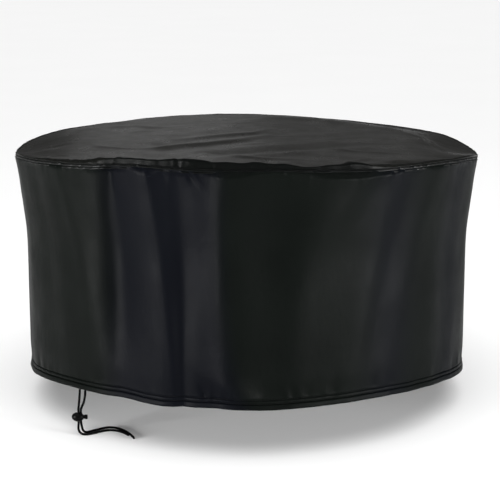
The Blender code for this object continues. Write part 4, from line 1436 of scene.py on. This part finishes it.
def make_skirt(finish):
    azimuth = SKIRT_AZIMUTHS
    down, above, out = np.array(skirt_rows(azimuth)).transpose(1, 0, 2)
    points = skirt_surface(azimuth, down, above, out)
    steps = np.linalg.norm(np.diff(points, axis=0, prepend=points[:1]), axis=2)
    skirt = make_ring("skirt_cloth", azimuth, points, np.cumsum(steps, axis=0))
    # Painted violet sheen: where the skirt's colour takes the violet tint
    set_point_value(skirt, "violet", painted_sheen_share(azimuth, down / USUAL_DROP))
    give_thickness(skirt)
    return give_finish(skirt, finish)


def painted_sheen_share(azimuth, fall):
    """Where a violet sheen is painted into the skirt's colour: a band over the front left folds, and faint patches."""
    end = VIOLET_TO + VIOLET_FLARE * np.maximum(fall, 0.0) ** 4
    share = VIOLET_STRENGTH * smooth_step((azimuth - VIOLET_FROM) / VIOLET_EDGES[0])
    share = share * smooth_step((end - azimuth) / VIOLET_EDGES[1] + 0.5)
    return np.clip(share + spot_sum(VIOLET_PATCHES, azimuth), 0.0, 1.0)


def top_plan(azimuth):
    """Plan points of the top panel: rings along its edge, then an even grid inside them."""
    count = len(azimuth)
    plan, ring_edges = [], []
    for inset in TOP_INSETS:
        first = len(plan)
        ring = around(RIM_RADIUS - inset, azimuth, 0.0)[:, :2]
        plan += [Vector(point) for point in ring]
        ring_edges += [(first + step, first + (step + 1) % count) for step in range(count)]
    limit = RIM_RADIUS - TOP_INSETS[-1] - 0.7 * TOP_GRID_STEP
    rows = int(limit / TOP_GRID_STEP)
    for row in range(-rows, rows + 1):
        shift = 0.5 * TOP_GRID_STEP if row % 2 else 0.0
        for column in range(-rows - 1, rows + 2):
            point = Vector((column * TOP_GRID_STEP + shift, row * TOP_GRID_STEP))
            if point.length < limit:
                plan.append(point)
    return plan, ring_edges


def tucked_rings(azimuth):
    """The two lowest rings of the top panel's edge, behind the tape."""
    seam_out, seam_up = seam_shift(azimuth)
    seam = section_value("rim", azimuth) + seam_up
    return [around(RIM_RADIUS - inset + seam_out, azimuth, seam + height)
            for inset, height in TOP_TUCK]


def turned_edge_shade(x, y):
    """How much of the turned edge's painted shade the top panel takes, over its plan points."""
    inset = RIM_RADIUS - np.hypot(x, y)
    turned = 1.0 - smooth_step((inset - 0.8 * SHOULDER_WIDTH) / (0.4 * SHOULDER_WIDTH))
    return turned * edge_shade_share(np.degrees(np.arctan2(x, -y)))


def make_top(finish):
    count = len(SKIRT_AZIMUTHS)
    plan, ring_edges = top_plan(SKIRT_AZIMUTHS)
    spots, _, faces = delaunay_2d_cdt(plan, ring_edges, [], 0, 1e-6)[:3]
    x, y = np.array([tuple(spot) for spot in spots]).T
    points = top_surface(x, y)
    base = len(points)
    points = np.concatenate((points, *tucked_rings(SKIRT_AZIMUTHS)))
    faces = [tuple(face) for face in faces]
    for step in range(count):
        beside = (step + 1) % count
        faces.append((step, base + count + step, base + count + beside, beside))
        faces.append((base + count + step, base + step, base + beside, base + count + beside))
    top = add_object("top_cloth", points, faces)
    set_cloth_map(top, *points[corner_points(top), :2].T)
    # Painted shade along the turned edge and the rings behind the tape
    tucked = edge_shade_share(SKIRT_AZIMUTHS)
    set_point_value(top, "turned", np.concatenate((turned_edge_shade(x, y), tucked, tucked)))
    give_thickness(top)
    return give_finish(top, finish)


def make_tape(finish):
    azimuth = np.linspace(-180.0, 180.0, TAPE_COLUMNS, endpoint=False)
    up, depth = np.array(TAPE_TURNS).T[:, :, None]
    points = tape_surface(azimuth, up, depth)
    v = np.broadcast_to(up + depth, points.shape[:2])
    tape = make_ring("rim_tape_cloth", azimuth, points, v, wrap_rows=True)
    # Painted shade: the tape is painted darker and less glossy where it rolls under
    set_point_value(tape, "turned", np.broadcast_to(rolled_share(azimuth), v.shape))
    return give_finish(tape, finish)


def stitch_points(surface, radius):
    """Points of a row of stitches: a surface, which gives points for azimuths, and its radius."""
    count = round(math.tau * radius / STITCH_PITCH)
    half = math.degrees(0.5 * STITCH_LENGTH / radius)
    azimuth = np.linspace(-180.0, 180.0, count, endpoint=False)
    start, middle, end = surface(azimuth - half), surface(azimuth), surface(azimuth + half)
    along = unit(end - start)
    out = unit(middle * np.array([1.0, 1.0, 0.0]))
    out = out - along * (out * along).sum(axis=1)[:, None]
    side = np.cross(along, out)
    rings = []
    for place, lift, thickness in STITCH_PROFILE:
        centre = mix(start, end, place + 0.5) * (1.0 - hump(place, 0.3))
        centre = centre + middle * hump(place, 0.3) + out * lift * THREAD_RADIUS
        for corner in range(THREAD_SIDES):
            angle = math.tau * corner / THREAD_SIDES
            reach = out * math.cos(angle) + side * math.sin(angle)
            rings.append(centre + reach * thickness * THREAD_RADIUS)
    return np.stack(rings, axis=1)


def stitch_faces():
    faces = []
    for ring in range(len(STITCH_PROFILE) - 1):
        for corner in range(THREAD_SIDES):
            beside = (corner + 1) % THREAD_SIDES
            here, there = ring * THREAD_SIDES, (ring + 1) * THREAD_SIDES
            faces.append((here + corner, there + corner, there + beside, here + beside))
    last = (len(STITCH_PROFILE) - 1) * THREAD_SIDES
    faces.append(tuple(range(THREAD_SIDES)))
    faces.append(tuple(last + corner for corner in reversed(range(THREAD_SIDES))))
    return faces


def make_stitches(name, rows, finish):
    points = np.concatenate([stitch_points(surface, radius) for surface, radius in rows])
    step = points.shape[1]
    faces = []
    for stitch in range(len(points)):
        faces += [tuple(corner + stitch * step for corner in face) for face in stitch_faces()]
    return give_finish(add_object(name, points, faces), finish)


def outline_value(turns, at):
    """The second number of an outline's turns where the first is at."""
    places, values = zip(*sorted(turns))
    return float(np.interp(at, places, values))


def hem_line(above):
    """The hem's outer face at a height over its edge."""
    out = outline_value(HEM_TURNS[:HEM_EDGE_TURN + 1], above)

    def surface(azimuth):
        drop = section_value("drop", azimuth)
        level = above + 0 * azimuth
        return skirt_surface(azimuth, drop - above, level, out + hem_drift(azimuth, level))
    return surface


def tape_line(up):
    """The tape's outer face at a height over the seam."""
    depth = outline_value(TAPE_TURNS[:TAPE_FACE_TURNS], up)

    def surface(azimuth):
        return tape_surface(azimuth, up + 0 * azimuth, depth + 0 * azimuth)
    return surface


# ---- the cover

set_camera()
set_light()
lay_floor()

braid = braid_finish()
left_strand, left_path, left_length = make_strand("left_strand", LEFT_STRAND, braid)
right_strand, right_path, right_length = make_strand("right_strand", RIGHT_STRAND, braid)
lock_ball = make_lock_body(moulded_plastic("lock_plastic", LOCK_BLACK, roughness=0.30))
lock_button = make_button(moulded_plastic("button_plastic", BUTTON_BLACK, roughness=0.34))

skirt_finish = coated_cloth("skirt_finish", SKIRT_BLACK, violet=PAINTED_VIOLET_SHEEN)
# The top panel's cloth, in a painted lighter grey
top_finish = coated_cloth(
    "top_finish", TOP_LIT_GREY, crinkle=0.0005, roughness=0.30, gloss=0.08, edge_gloss=0.014
)
tape_finish = coated_cloth("tape_finish", TAPE_BLACK, crinkle=0.0006, gloss=0.20, edge_gloss=0.03)
skirt = make_skirt(skirt_finish)
top = make_top(top_finish)
tape = make_tape(tape_finish)
thread = thread_finish()
rim_stitches = make_stitches(
    "rim_stitches",
    [(tape_line(up), RIM_RADIUS) for up in TAPE_STITCHES],
    thread,
)
hem_stitches = make_stitches(
    "hem_stitches",
    [(hem_line(LOWER_STITCHES), WALL[-1].radius), (hem_line(UPPER_STITCHES), WALL[-1].radius)],
    thread,
)

for piece, node, slot in (
    (left_strand, "drawcord_left", "cord"),
    (right_strand, "drawcord_right", "cord"),
    (lock_ball, "cord_lock_body", "lock_plastic"),
    (skirt, "skirt", "skirt_cloth"),
    (hem_stitches, None, "cord"),
    (top, "top_panel", "top_cloth"),
    (tape, "rim_tape", "binding"),
    (rim_stitches, None, "cord"),
):
    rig.ride(piece, "cover")
    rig.slot(piece, slot)
    if node:
        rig.replaces(piece, node)
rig.ride(lock_button, "plunger")
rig.slot(lock_button, "lock_plastic")
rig.replaces(lock_button, "cord_lock_plunger")

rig.cord(left_strand, exit=left_path[0], length=left_length, diameter=CORD_DIAMETER,
        far_end="bare", stiffness="limp", lay="loose", path=left_path,
        with_pieces=[lock_ball, lock_button])
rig.cord(right_strand, exit=right_path[0], length=right_length, diameter=CORD_DIAMETER,
        far_end="bare", stiffness="limp", lay="loose", path=right_path,
        with_pieces=[lock_ball, lock_button])
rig.sheet(top, flat=(1.61, 1.61), area=2.03, held="draped")
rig.sheet(skirt, flat=(4.95, 0.80), held="hung", rests_on=[top], with_pieces=[hem_stitches])
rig.sheet(tape, flat=(4.95, 0.0220), held="hung", rests_on=[top, skirt],
         with_pieces=[rim_stitches])

with open("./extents.json", "w") as sizes:
    json.dump({"cad": [list(corner) for corner in cad_box],
               "visual": [list(corner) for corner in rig.bounds()]}, sizes)
